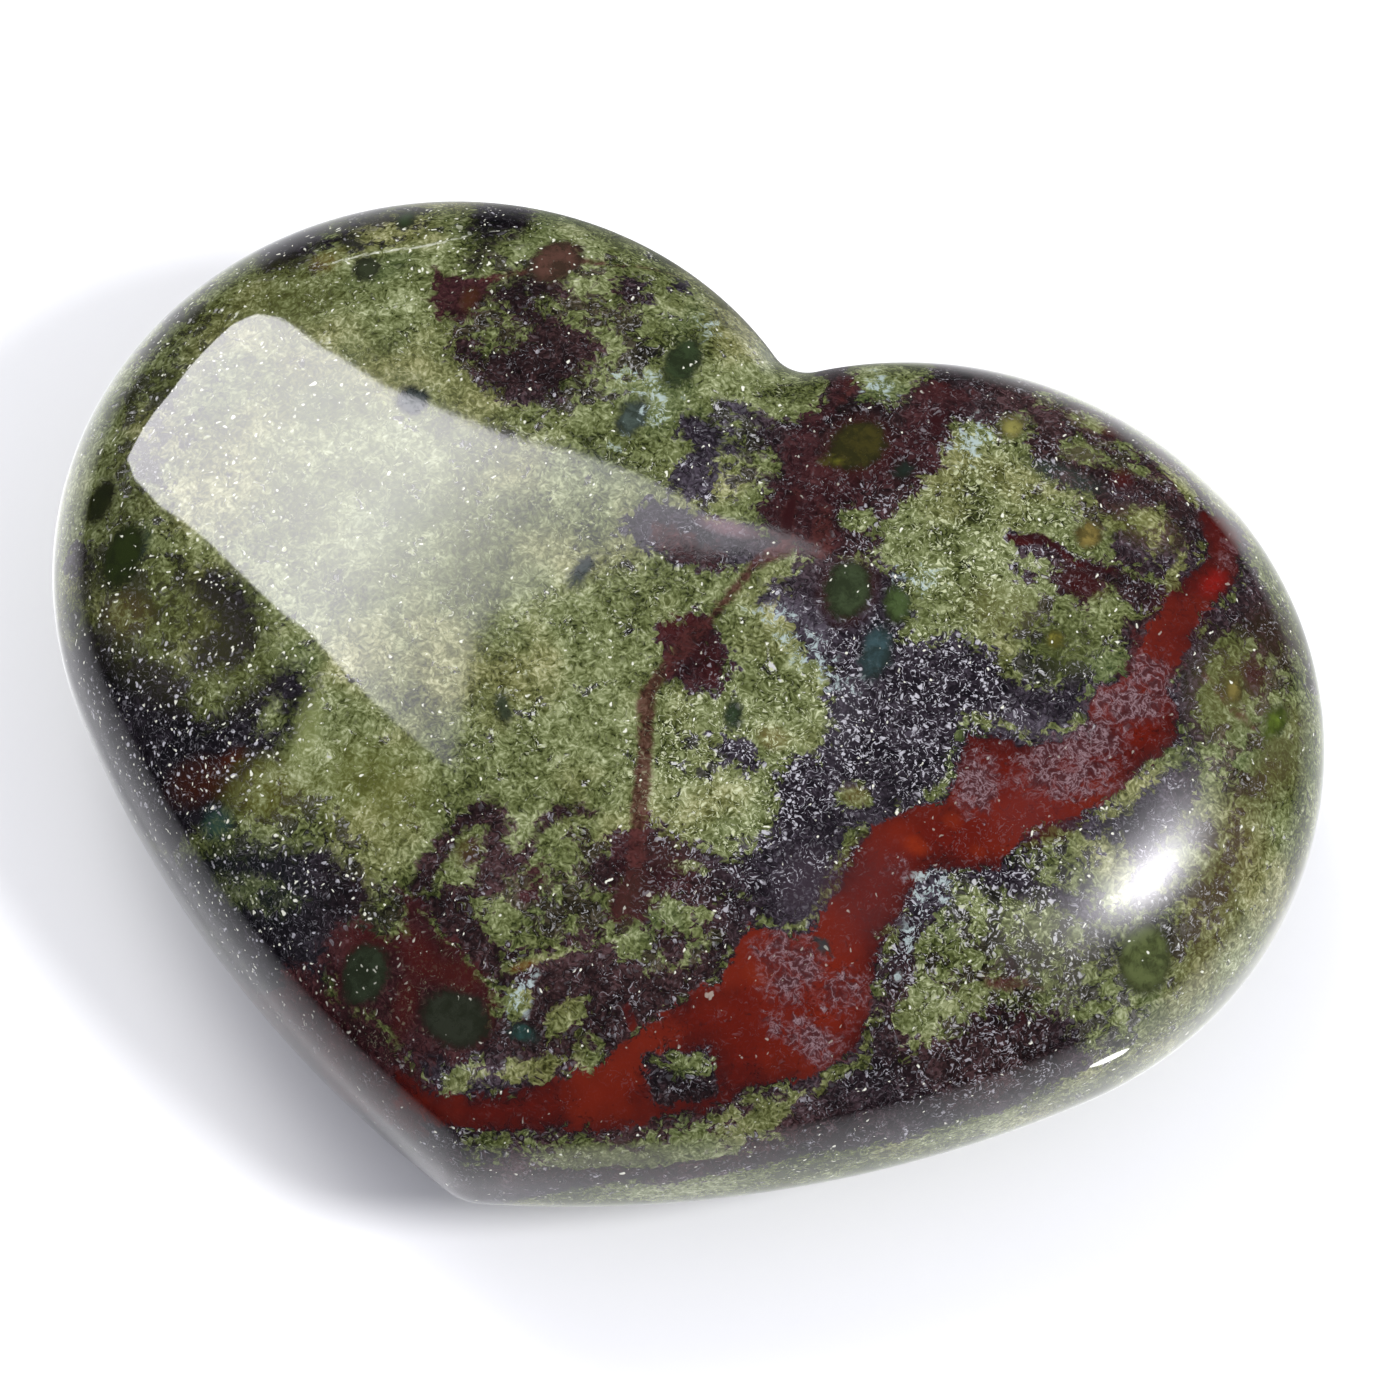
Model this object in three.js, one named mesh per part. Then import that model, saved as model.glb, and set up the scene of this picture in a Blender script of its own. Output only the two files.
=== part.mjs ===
// A palm stone ground and polished as a wide, puffy heart: one solid stone, lying on its back.
// Millimetres, +Z up. The origin is under the middle of the heart, on the surface that it rests on.
// The two lobes point to +Y and the tip to -Y. The heart is the same on both sides of the plane X = 0.

import * as THREE from "three";

// The outline at the girdle, where the stone is widest.
const WIDTH = 70;
const LENGTH = 53.4;
const LOBE_RADIUS = 21.15;
const SIDE_RADIUS = 68;
const TIP_RADIUS = 3.1;
const NOTCH_RADIUS = 2.3;

// The two domes that meet at the girdle. A dome's height falls from its middle to the girdle as
// (1 - s^SHOULDER)^(1/EDGE), where s is 0 in the middle and 1 at the girdle: a larger SHOULDER keeps
// the middle flatter, and a larger EDGE makes the girdle blunter.
const TOP_DOME = { height: 10, shoulder: 4.8, edge: 2.4 };
const BACK_DOME = { height: 12, shoulder: 3, edge: 2.7 };
const DOME_MIDDLE_Y = 3.6;

// Level lines turn from the heart at the girdle to this ellipse in the middle of a dome.
const MIDDLE_HALF_WIDTH = 23;
const MIDDLE_HALF_LENGTH = 18;
const HEART_FADE = 0.8;

// The back is ground flat out to this share of the way to the girdle, so that the stone lies still.
const FOOT_SHARE = 0.4;

// How finely the faceted solid follows the shape: steps on each arc of half the outline, and rings.
const ARC_STEPS = { notch: 4, lobe: 24, side: 16, tip: 5 };
const TOP_RINGS = 16;
const BACK_RINGS = 13;

const STONE = new THREE.MeshStandardMaterial({
  color: 0x5c5f3c,
  roughness: 0.08,
  metalness: 0,
});

// Where a dome stands at the share s of the way from its middle to the girdle, as a share of its height.
const domeHeight = (dome, s) =>
  Math.pow(1 - Math.pow(s, dome.shoulder), 1 / dome.edge);

// The half outline on the +X side as four arcs that touch: the notch's fillet, the lobe, the long side
// and the tip. Each is given by its centre, radius, first and last angle.
function outlineArcs() {
  const lobe = new THREE.Vector2(WIDTH / 2 - LOBE_RADIUS, LENGTH / 2 - LOBE_RADIUS);
  const tip = new THREE.Vector2(0, TIP_RADIUS - LENGTH / 2);
  const notchReach = LOBE_RADIUS + NOTCH_RADIUS;
  const notch = new THREE.Vector2(0, lobe.y + Math.sqrt(notchReach ** 2 - lobe.x ** 2));

  // The side's centre is where two circles cross, one about the lobe's centre and one about the tip's.
  const fromLobe = SIDE_RADIUS - LOBE_RADIUS;
  const fromTip = SIDE_RADIUS - TIP_RADIUS;
  const apart = lobe.distanceTo(tip);
  const along = (apart ** 2 + fromLobe ** 2 - fromTip ** 2) / (2 * apart);
  const aside = Math.sqrt(fromLobe ** 2 - along ** 2);
  const run = tip.clone().sub(lobe).normalize();
  const side = lobe
    .clone()
    .addScaledVector(run, along)
    .addScaledVector(new THREE.Vector2(run.y, -run.x), aside);

  const angle = (from, to) => Math.atan2(to.y - from.y, to.x - from.x);
  const lobeEnd = angle(side, lobe);
  const sideEnd = angle(side, tip);
  return [
    { at: notch, radius: NOTCH_RADIUS, from: -Math.PI / 2, to: angle(notch, lobe), steps: ARC_STEPS.notch },
    { at: lobe, radius: LOBE_RADIUS, from: angle(lobe, notch), to: lobeEnd, steps: ARC_STEPS.lobe },
    { at: side, radius: SIDE_RADIUS, from: lobeEnd, to: sideEnd, steps: ARC_STEPS.side },
    { at: tip, radius: TIP_RADIUS, from: sideEnd, to: -Math.PI / 2, steps: ARC_STEPS.tip },
  ];
}

// The whole outline, counter-clockwise seen from above, starting at the tip.
function outline() {
  const right = [];
  for (const arc of outlineArcs()) {
    for (let i = 0; i < arc.steps; i++) {
      const a = arc.from + ((arc.to - arc.from) * i) / arc.steps;
      right.push(
        new THREE.Vector2(arc.at.x + arc.radius * Math.cos(a), arc.at.y + arc.radius * Math.sin(a)),
      );
    }
  }
  const tipPoint = new THREE.Vector2(0, -LENGTH / 2);
  const left = right.slice(1).map((p) => new THREE.Vector2(-p.x, p.y));
  return [tipPoint, ...right.reverse(), ...left];
}

// A level line at the share s: each outline point drawn in towards the middle of the dome, and turned
// from the heart to the ellipse on the way.
function levelLine(girdle, s) {
  const heartShare = Math.pow(s, HEART_FADE);
  return girdle.map((p) => {
    const x = p.x;
    const y = p.y - DOME_MIDDLE_Y;
    const reach = Math.hypot(x, y);
    const ellipse =
      1 / Math.hypot(x / reach / MIDDLE_HALF_WIDTH, y / reach / MIDDLE_HALF_LENGTH);
    const radius = s * (ellipse * (1 - heartShare) + reach * heartShare);
    return new THREE.Vector2((x / reach) * radius, DOME_MIDDLE_Y + (y / reach) * radius);
  });
}

// The stone's surface: rings from the foot up over the girdle to the crown, closed by a fan at each end.
function heartGeometry() {
  const girdle = outline();
  const girdleZ = BACK_DOME.height * domeHeight(BACK_DOME, FOOT_SHARE);
  const positions = [];
  const addPoint = (x, y, z) => positions.push(x, y, z) / 3 - 1;
  const addRing = (s, z) => levelLine(girdle, s).map((p) => addPoint(p.x, p.y, z));

  // Rings are even in angle, so that they crowd towards the girdle, where the stone turns fastest.
  const rings = [];
  const footAngle = Math.asin(FOOT_SHARE);
  for (let i = 0; i <= BACK_RINGS; i++) {
    const s = Math.sin(footAngle + ((Math.PI / 2 - footAngle) * i) / BACK_RINGS);
    rings.push(addRing(s, girdleZ - BACK_DOME.height * domeHeight(BACK_DOME, s)));
  }
  for (let i = TOP_RINGS - 1; i > 0; i--) {
    const s = Math.sin((Math.PI / 2) * (i / TOP_RINGS));
    rings.push(addRing(s, girdleZ + TOP_DOME.height * domeHeight(TOP_DOME, s)));
  }
  const footMiddle = addPoint(0, DOME_MIDDLE_Y, 0);
  const crown = addPoint(0, DOME_MIDDLE_Y, girdleZ + TOP_DOME.height);

  const faces = [];
  const count = girdle.length;
  for (let i = 0; i < count; i++) {
    const next = (i + 1) % count;
    faces.push(footMiddle, rings[0][next], rings[0][i]);
    for (let r = 0; r + 1 < rings.length; r++) {
      const [low, high] = [rings[r], rings[r + 1]];
      faces.push(low[i], low[next], high[next], low[i], high[next], high[i]);
    }
    const last = rings[rings.length - 1];
    faces.push(last[i], last[next], crown);
  }

  const geometry = new THREE.BufferGeometry();
  geometry.setAttribute("position", new THREE.Float32BufferAttribute(positions, 3));
  geometry.setIndex(faces);
  geometry.computeVertexNormals();
  return geometry;
}

const heart = new THREE.Mesh(heartGeometry(), STONE);
heart.name = "heart_stone";

const palmStone = new THREE.Group();
palmStone.add(heart);

export default palmStone;
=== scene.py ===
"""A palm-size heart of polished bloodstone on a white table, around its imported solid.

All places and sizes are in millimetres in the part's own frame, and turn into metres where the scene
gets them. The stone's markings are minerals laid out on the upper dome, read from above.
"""

import math
from functools import partial

import bpy
import numpy as np
from mathutils import Matrix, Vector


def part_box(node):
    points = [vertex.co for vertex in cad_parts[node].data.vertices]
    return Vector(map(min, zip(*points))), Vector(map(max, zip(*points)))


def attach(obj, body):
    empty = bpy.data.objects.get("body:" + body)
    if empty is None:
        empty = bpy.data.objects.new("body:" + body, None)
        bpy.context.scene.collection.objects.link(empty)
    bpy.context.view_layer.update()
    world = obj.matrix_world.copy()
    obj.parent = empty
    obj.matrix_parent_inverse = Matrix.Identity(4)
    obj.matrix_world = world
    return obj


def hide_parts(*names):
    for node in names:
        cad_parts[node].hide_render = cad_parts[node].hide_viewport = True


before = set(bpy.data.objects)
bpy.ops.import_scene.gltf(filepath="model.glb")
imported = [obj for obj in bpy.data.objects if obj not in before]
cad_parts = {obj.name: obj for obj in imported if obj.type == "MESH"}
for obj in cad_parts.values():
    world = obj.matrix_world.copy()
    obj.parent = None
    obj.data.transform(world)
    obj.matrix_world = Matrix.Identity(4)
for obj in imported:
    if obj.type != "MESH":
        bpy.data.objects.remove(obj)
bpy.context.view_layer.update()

MM = 0.001

# The heart's driving dimensions, as its solid has them. Width and length come from the solid.
LOWEST, HIGHEST = (np.array(corner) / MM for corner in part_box("heart_stone"))
WIDTH, LENGTH, HEIGHT = HIGHEST - LOWEST
LOBE_RADIUS = 21.15
SIDE_RADIUS = 68
TIP_RADIUS = 3.1
NOTCH_RADIUS = 2.3
TOP_DOME = {"height": 10, "shoulder": 4.8, "edge": 2.4}
BACK_DOME = {"height": 12, "shoulder": 3, "edge": 2.7}
DOME_MIDDLE_Y = 3.6
MIDDLE_HALF_WIDTH = 23
MIDDLE_HALF_LENGTH = 18
HEART_FADE = 0.8
GIRDLE_Z = HEIGHT - TOP_DOME["height"]

# How finely the polished surface is drawn: points on each arc of half the outline, and rings.
ARC_STEPS = {"notch": 10, "lobe": 104, "side": 70, "tip": 16}
TOP_RINGS = 150
BACK_RINGS = 88
# How far the polish rounds the edge of the flat foot.
FOOT_SOFTNESS = 0.05

# The view: where the camera looks, from which side and how far, and how wide the picture is there.
VIEW_AIM = (1.55, 3.70, 11.41)
VIEW_AZIMUTH = 21.5
VIEW_ELEVATION = 66.7
VIEW_DISTANCE = 450
VIEW_WIDTH = 74.9
VIEW_REACH = 20000
SENSOR_WIDTH = 36


def linear(colour, alpha=1.0):
    """An sRGB hex colour as linear red, green, blue and alpha."""
    parts = (int(colour[i : i + 2], 16) / 255 for i in (1, 3, 5))
    return (*(c / 12.92 if c <= 0.04045 else ((c + 0.055) / 1.055) ** 2.4 for c in parts), alpha)


def direction(azimuth, elevation):
    """The unit vector towards a side: azimuth 0 is -Y, 90 is +X, and elevation is up from the table."""
    a, e = math.radians(azimuth), math.radians(elevation)
    return np.array([math.sin(a) * math.cos(e), -math.cos(a) * math.cos(e), math.sin(e)])


def turned_to(back, up=(0, 0, 1)):
    """The rotation of a camera or lamp with +Z along back and +Y as near to up as it can be."""
    z = np.array(back) / np.linalg.norm(back)
    x = np.cross(up, z)
    x = x / np.linalg.norm(x)
    rows = np.stack([x, np.cross(z, x), z], axis=1)
    return Matrix(rows.tolist()).to_euler()


def outline():
    """The girdle's outline, counter-clockwise from the tip. Half of it is four arcs that touch: the
    notch's fillet, the lobe, the long side and the tip. The side's centre is where a circle about the
    lobe's centre crosses one about the tip's. The other half is its mirror image."""
    lobe = np.array([WIDTH / 2 - LOBE_RADIUS, LENGTH / 2 - LOBE_RADIUS])
    tip = np.array([0, TIP_RADIUS - LENGTH / 2])
    notch = np.array([0, lobe[1] + math.sqrt((LOBE_RADIUS + NOTCH_RADIUS) ** 2 - lobe[0] ** 2)])
    from_lobe, from_tip = SIDE_RADIUS - LOBE_RADIUS, SIDE_RADIUS - TIP_RADIUS
    apart = np.linalg.norm(tip - lobe)
    along = (apart**2 + from_lobe**2 - from_tip**2) / (2 * apart)
    run = (tip - lobe) / apart
    side = lobe + run * along + np.array([run[1], -run[0]]) * math.sqrt(from_lobe**2 - along**2)

    def angle(start, end):
        return math.atan2(end[1] - start[1], end[0] - start[0])

    arcs = (
        (notch, NOTCH_RADIUS, -math.pi / 2, angle(notch, lobe), ARC_STEPS["notch"]),
        (lobe, LOBE_RADIUS, angle(lobe, notch), angle(side, lobe), ARC_STEPS["lobe"]),
        (side, SIDE_RADIUS, angle(side, lobe), angle(side, tip), ARC_STEPS["side"]),
        (tip, TIP_RADIUS, angle(side, tip), -math.pi / 2, ARC_STEPS["tip"]),
    )
    parts = []
    for centre, radius, first, last, steps in arcs:
        a = np.linspace(first, last, steps, endpoint=False)
        parts.append(centre + radius * np.stack([np.cos(a), np.sin(a)], axis=1))
    right = np.concatenate(parts)
    left = right[1:] * [-1, 1]
    return np.concatenate([[[0, -LENGTH / 2]], right[::-1], left])


def dome_height(dome, share):
    """A dome's height at a share of the way from its middle to the girdle: its whole height times
    (1 - share^shoulder)^(1/edge)."""
    return dome["height"] * (1 - share ** dome["shoulder"]) ** (1 / dome["edge"])


def heart_points():
    """The polished surface as a grid, one row a level line and one column an outline point.
    A level line at the share s is s times the outline's reach from the dome's middle, blended by
    s^HEART_FADE from an ellipse to the heart. The back's height is kept off the table by a soft
    maximum, (z + sqrt(z^2 + softness^2)) / 2, which is the flat foot with a polished edge."""
    top = np.sin(np.linspace(0, math.pi / 2, TOP_RINGS + 1))[1:]
    back = np.sin(np.linspace(0, math.pi / 2, BACK_RINGS + 1))[1:-1]
    share = np.concatenate([back, top[::-1]])[:, None]
    girdle = outline() - [0, DOME_MIDDLE_Y]
    reach = np.linalg.norm(girdle, axis=1)
    way = girdle / reach[:, None]
    ellipse = 1 / np.hypot(way[:, 0] / MIDDLE_HALF_WIDTH, way[:, 1] / MIDDLE_HALF_LENGTH)
    heart = share**HEART_FADE
    radius = share * (ellipse * (1 - heart) + reach * heart)
    below = GIRDLE_Z - dome_height(BACK_DOME, back)
    below = (below + np.sqrt(below**2 + FOOT_SOFTNESS**2)) / 2
    z = np.concatenate([below, GIRDLE_Z + dome_height(TOP_DOME, top[::-1])])
    grid = np.empty((len(share), len(girdle), 3))
    grid[..., 0] = radius * way[:, 0]
    grid[..., 1] = DOME_MIDDLE_Y + radius * way[:, 1]
    grid[..., 2] = z[:, None]
    return grid


def closed_mesh(name, grid, first_pole, last_pole):
    """A mesh from a grid of points whose rows are closed rings, with a pole at each end. Each ring is
    joined to the next by quads, and each end ring to its pole by a fan of triangles."""
    rows, columns, _ = grid.shape
    points = np.concatenate([grid.reshape(-1, 3), [first_pole, last_pole]])
    here = np.arange(columns)
    there = np.roll(here, -1)
    start = (np.arange(rows - 1) * columns)[:, None]
    quads = np.stack(
        [start + here, start + there, start + columns + there, start + columns + here], axis=-1
    ).reshape(-1, 4)
    first, last = rows * columns, rows * columns + 1
    end = (rows - 1) * columns
    under = np.stack([np.full(columns, first), there, here], axis=1)
    over = np.stack([end + here, end + there, np.full(columns, last)], axis=1)
    mesh = bpy.data.meshes.new(name)
    mesh.from_pydata((points * MM).tolist(), [], quads.tolist() + under.tolist() + over.tolist())
    mesh.shade_smooth()
    return mesh, points


# The markings, read from above. Each patch is one mineral's outline, as corners (x, y). Each oval has
# its middle, its half width and half length, and its turn in degrees.
# Dark matrix.
MATRIX_PATCHES = (
    # the upper left lobe
    ((-30.2, 18.0), (-29.0, 19.3), (-27.6, 20.6), (-26.4, 19.9), (-26.3, 17.4), (-26.9, 15.9),
     (-28.6, 15.6)),
    ((-26.5, 20.3), (-25.2, 21.6), (-24.0, 22.3), (-23.6, 21.5), (-24.8, 20.2), (-25.6, 19.4)),
    ((-19.4, 24.5), (-19.6, 22.4), (-19.0, 21.2), (-18.3, 20.6), (-18.4, 19.2), (-17.4, 18.6),
     (-17.0, 19.8), (-17.0, 21.2), (-16.2, 22.2), (-15.6, 23.2), (-16.2, 24.6), (-17.8, 25.2)),
    ((-16.9, 17.8), (-15.9, 18.7), (-14.8, 20.3), (-13.2, 20.3), (-12.4, 19.4), (-12.7, 18.1),
     (-11.0, 17.4), (-9.4, 16.8), (-9.7, 14.8), (-10.2, 12.9), (-12.0, 12.0), (-14.2, 12.3),
     (-15.2, 13.2), (-16.9, 13.4), (-16.9, 14.9), (-15.4, 14.6), (-13.8, 15.2), (-13.7, 16.3),
     (-15.0, 17.1)),
    ((-10.3, 21.8), (-9.4, 22.6), (-8.4, 22.2), (-8.2, 20.8), (-8.7, 19.9), (-9.9, 20.0)),
    ((-7.8, 23.4), (-6.9, 23.6), (-6.6, 22.6), (-7.3, 21.9)),
    ((-3.9, 13.5), (-3.4, 14.6), (-2.0, 15.0), (-0.8, 14.7), (-1.3, 13.6), (-1.2, 12.4), (-0.9, 10.3),
     (-2.9, 10.2), (-2.8, 11.6), (-2.5, 12.9)),
    ((-3.6, 9.4), (2.0, 9.8), (4.0, 9.6), (2.6, 7.4), (1.0, 6.6), (-1.0, 6.0), (-2.6, 6.6), (-4.4, 7.4)),
    # under the notch
    ((1.0, 22.6), (2.4, 22.4), (3.6, 20.6), (4.4, 19.8), (6.2, 19.8), (7.0, 21.0), (7.0, 24.5),
     (8.5, 25.2), (12.0, 25.2), (14.0, 24.9), (15.0, 22.5), (14.0, 20.8), (12.0, 20.6), (10.6, 20.6),
     (10.0, 19.5), (9.6, 18.0), (10.1, 16.6), (9.2, 15.0), (8.4, 13.4), (8.8, 11.6), (8.3, 10.3),
     (6.0, 9.5), (3.0, 9.2), (1.8, 10.4), (2.0, 12.5), (1.7, 14.2), (0.4, 14.4), (-0.2, 15.2),
     (1.2, 16.4), (2.3, 17.3), (2.6, 18.6), (2.2, 20.2), (1.2, 21.2)),
    # the right lobe, around the green field
    ((13.6, 24.8), (14.2, 22.8), (13.4, 20.6), (14.4, 19.0), (16.2, 18.8), (18.2, 18.6), (18.8, 17.4),
     (20.0, 19.2), (21.8, 20.0), (22.6, 19.0), (22.8, 17.2), (22.0, 16.4), (21.4, 17.4), (20.2, 17.5),
     (19.8, 16.2), (20.6, 15.3), (22.6, 15.3), (23.2, 13.8), (24.2, 16.6), (24.8, 18.8), (24.2, 21.6),
     (22.4, 22.9), (20.0, 24.2), (16.6, 25.0)),
    ((15.0, 14.8), (16.6, 15.2), (18.4, 14.9), (19.8, 15.2), (21.8, 15.6), (23.4, 15.2), (23.4, 12.4),
     (22.8, 10.6), (21.4, 10.6), (22.2, 12.4), (21.6, 13.7), (20.2, 13.6), (19.8, 12.3), (18.2, 12.5),
     (17.6, 14.2), (16.9, 12.6), (15.9, 12.7), (15.8, 14.0)),
    ((25.6, 20.9), (28.4, 18.2), (30.4, 16.4), (29.6, 14.6), (27.6, 15.0), (26.9, 13.4), (26.9, 11.0),
     (27.2, 9.2), (28.2, 7.6), (27.0, 7.0), (25.6, 9.4), (25.6, 12.0), (26.0, 15.0), (26.8, 17.6),
     (26.4, 19.4)),
    ((28.6, 13.8), (29.6, 13.8), (29.9, 12.4), (29.2, 12.0), (28.7, 12.8)),
    # the middle, between the green fields and the red vein
    ((5.2, 8.4), (6.6, 9.8), (9.6, 10.2), (11.0, 10.2), (11.6, 8.4), (11.8, 6.8), (13.4, 6.8),
     (14.0, 8.0), (16.4, 8.0), (18.2, 6.9), (19.8, 7.0), (20.2, 8.4), (21.6, 9.0), (22.0, 7.0),
     (21.4, 5.4), (19.6, 4.6), (17.6, 4.4), (16.2, 3.8), (16.6, 2.0), (16.8, 0.0), (16.4, -1.4),
     (14.6, -3.0), (13.2, -4.4), (13.2, -7.0), (12.8, -9.6), (11.6, -10.6), (9.8, -11.0), (9.4, -10.0),
     (7.8, -9.2), (7.4, -8.2), (8.8, -7.2), (9.2, -6.0), (9.0, -4.6), (8.0, -3.2), (8.6, -2.0),
     (9.9, -1.0), (10.2, 0.8), (9.4, 2.0), (9.4, 3.0), (8.4, 3.8), (6.8, 4.6), (6.2, 5.6), (5.4, 6.6)),
    ((4.6, -2.2), (6.0, -1.8), (7.6, -2.2), (7.0, -3.2), (5.6, -3.1)),
    ((27.4, 7.6), (28.6, 6.2), (29.0, 4.4), (28.4, 2.0), (27.8, 0.4), (26.6, 0.6), (24.0, 0.4),
     (22.6, -0.4), (22.0, -2.4), (23.2, -2.9), (25.4, -2.6), (26.4, -3.2), (25.4, -4.0), (23.6, -3.6),
     (22.4, -4.4), (20.4, -4.6), (19.4, -4.0), (21.0, -1.4), (22.2, 0.6), (24.6, 2.4), (26.0, 4.0),
     (27.2, 5.8)),
    ((0.9, 4.2), (2.4, 4.6), (3.3, 3.0), (4.2, 2.0), (4.2, 0.6), (2.8, -0.1), (0.9, -0.2), (0.5, 1.6),
     (-0.6, 2.9), (0.4, 3.1)),
    # the lower right side
    ((22.6, -6.6), (23.8, -6.8), (24.0, -8.0), (22.9, -8.1)),
    ((19.6, -13.4), (21.4, -12.4), (22.2, -10.6), (23.0, -9.2), (25.0, -8.6), (27.6, -8.4), (28.6, -9.8),
     (27.0, -13.0), (22.6, -16.6), (18.0, -20.0), (15.0, -20.0), (15.4, -18.0), (16.8, -16.0),
     (17.7, -14.6), (17.6, -12.0), (18.4, -12.0)),
    ((17.2, -4.8), (18.6, -4.9), (19.2, -6.0), (18.6, -8.0), (18.8, -10.0), (18.6, -12.0), (17.6, -12.4),
     (17.0, -10.0)),
    # the lower left side
    ((-29.9, -5.4), (-28.4, -6.3), (-26.8, -7.1), (-25.0, -7.5), (-23.2, -7.8), (-22.0, -8.9),
     (-21.0, -9.7), (-20.3, -9.4), (-20.1, -8.2), (-19.0, -7.1), (-17.9, -6.1), (-16.8, -6.1),
     (-16.0, -7.2), (-16.0, -9.0), (-16.4, -10.8), (-17.4, -11.6), (-17.6, -12.6), (-17.6, -14.2),
     (-18.5, -15.5), (-21.5, -16.6), (-25.0, -15.0), (-31.0, -9.0)),
    ((-25.3, -3.6), (-24.0, -2.4), (-22.2, -2.2), (-21.0, -3.2), (-20.0, -4.2), (-19.4, -5.4),
     (-19.8, -6.8), (-21.2, -7.8), (-22.9, -7.8), (-23.0, -6.2), (-22.4, -5.2), (-23.4, -4.5)),
    ((-32.2, -2.0), (-30.6, -2.1), (-29.9, -3.2), (-29.4, -4.6), (-30.6, -4.4), (-31.6, -3.4)),
    ((-20.5, -15.9), (-16.5, -15.6), (-14.8, -15.3), (-13.0, -14.6), (-9.6, -15.4), (-8.6, -16.4),
     (-9.2, -17.8), (-9.2, -21.0), (-10.4, -22.4), (-14.0, -21.6), (-18.0, -19.4), (-21.5, -17.4)),
    # above the tip
    ((-8.2, -15.2), (-6.6, -14.8), (-4.6, -14.4), (-3.4, -13.8), (-3.6, -15.2), (-2.4, -16.2),
     (-0.6, -16.4), (0.8, -15.6), (2.6, -14.2), (3.4, -13.6), (3.4, -14.8), (4.4, -15.2), (5.6, -14.6),
     (6.4, -13.2), (7.4, -12.6), (8.2, -11.4), (7.6, -9.4), (9.2, -8.8), (10.2, -11.0), (10.1, -12.8),
     (9.4, -14.6), (8.4, -15.8), (7.4, -17.2), (6.4, -18.8), (5.0, -18.6), (4.0, -18.4), (3.4, -17.8),
     (1.8, -18.0), (0.6, -18.2), (0.0, -19.2), (-1.0, -19.0), (-2.6, -18.2), (-4.4, -17.4), (-6.0, -16.6),
     (-7.4, -15.8)),
    ((0.0, -17.8), (-0.8, -20.6), (-1.4, -21.6), (-4.0, -21.8), (-5.2, -22.8), (-3.0, -23.8),
     (-1.2, -24.0), (1.2, -23.2), (3.2, -22.0), (5.2, -21.0), (6.4, -19.4), (7.2, -17.4), (4.0, -17.2)),
    ((4.6, -12.6), (5.4, -14.0), (6.6, -14.8), (8.2, -15.4), (9.6, -14.2), (9.8, -12.0), (8.0, -12.6),
     (6.4, -12.8)),
    ((1.2, -10.8), (2.0, -9.2), (3.0, -8.0), (4.4, -7.8), (5.2, -8.4), (6.4, -8.2), (8.4, -8.0),
     (9.6, -9.0), (8.4, -10.4), (7.4, -11.0), (6.2, -11.2), (5.4, -10.6), (4.8, -11.4), (4.8, -12.6),
     (3.8, -13.4), (3.0, -13.2), (3.0, -11.8), (2.2, -12.2), (1.2, -11.8)),
    # round the tip and on down the side
    ((-16.0, -19.4), (-10.0, -21.2), (-5.0, -23.4), (0.2, -25.4), (4.4, -24.7), (8.2, -23.1),
     (12.0, -21.3), (15.0, -19.4), (19.0, -17.0), (21.4, -16.8), (19.4, -18.8), (15.6, -21.4),
     (12.0, -23.6), (8.6, -25.4), (6.6, -28.0), (4.0, -33.0), (-4.0, -33.0), (-14.0, -27.0)),
)
# Thin dark seams, as points (x, y, half the width).
MATRIX_SEAMS = (
    ((-6.7, -15.2, 0.8), (-6.3, -12.6, 0.5), (-5.8, -10.9, 0.6), (-4.8, -10.1, 0.75), (-4.0, -10.9, 0.5),
     (-3.7, -12.2, 0.5), (-3.3, -13.6, 0.7)),
    ((21.4, 20.6, 0.5), (22.6, 19.6, 0.55), (23.0, 18.2, 0.45), (22.7, 16.6, 0.5)),
    ((19.9, 17.0, 0.35), (20.8, 17.3, 0.6), (21.3, 16.6, 0.4)),
    ((1.4, -21.4, 0.12), (2.8, -20.6, 0.2), (4.2, -19.9, 0.15), (6.2, -19.1, 0.2)),
    ((2.4, -20.7, 0.15), (2.6, -22.0, 0.15)),
    ((3.8, -20.1, 0.12), (3.9, -21.6, 0.15)),
    ((4.0, 6.0, 0.2), (4.6, 7.2, 0.25), (5.4, 7.6, 0.3)),
    ((0.4, -8.3, 0.1), (-0.8, -8.5, 0.45), (-1.5, -9.0, 0.45), (-1.9, -10.4, 0.15), (-2.0, -11.6, 0.25),
     (-2.6, -12.4, 0.5), (-3.3, -12.9, 0.4)),
    ((1.6, -11.6, 0.6), (2.8, -11.4, 0.4)),
    ((-5.0, -12.2, 0.35), (-4.8, -12.8, 0.3)),
    ((-3.4, 14.3, 0.45), (-2.2, 14.9, 0.4), (-1.6, 13.6, 0.45), (0.0, 14.0, 0.35), (1.0, 14.8, 0.4),
     (2.0, 15.8, 0.5)),
    ((-2.2, 15.9, 0.3), (-1.0, 16.2, 0.3), (0.5, 15.8, 0.35), (2.0, 16.2, 0.5)),
    ((-26.6, 18.4, 0.3), (-25.0, 19.2, 0.4), (-24.2, 18.6, 0.3)),
)
# How wide the dark rim along the red vein is.
MATRIX_RIM = 0.45
# Where the dark is brown and not grey, as ovals.
WARM_DARK = (
    (17.0, 21.5, 9.0, 4.5, -15), (6.0, 16.5, 5.5, 8.0, 0), (-13.5, 17.5, 6.5, 6.0, 0),
    (0.0, -14.5, 11.0, 8.0, 0), (20.5, 13.5, 4.5, 3.0, 0), (22.0, -11.0, 6.0, 4.0, 20),
    (29.5, 12.0, 3.0, 9.0, 10), (10.0, -22.0, 12.0, 3.0, 28),
)

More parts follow.
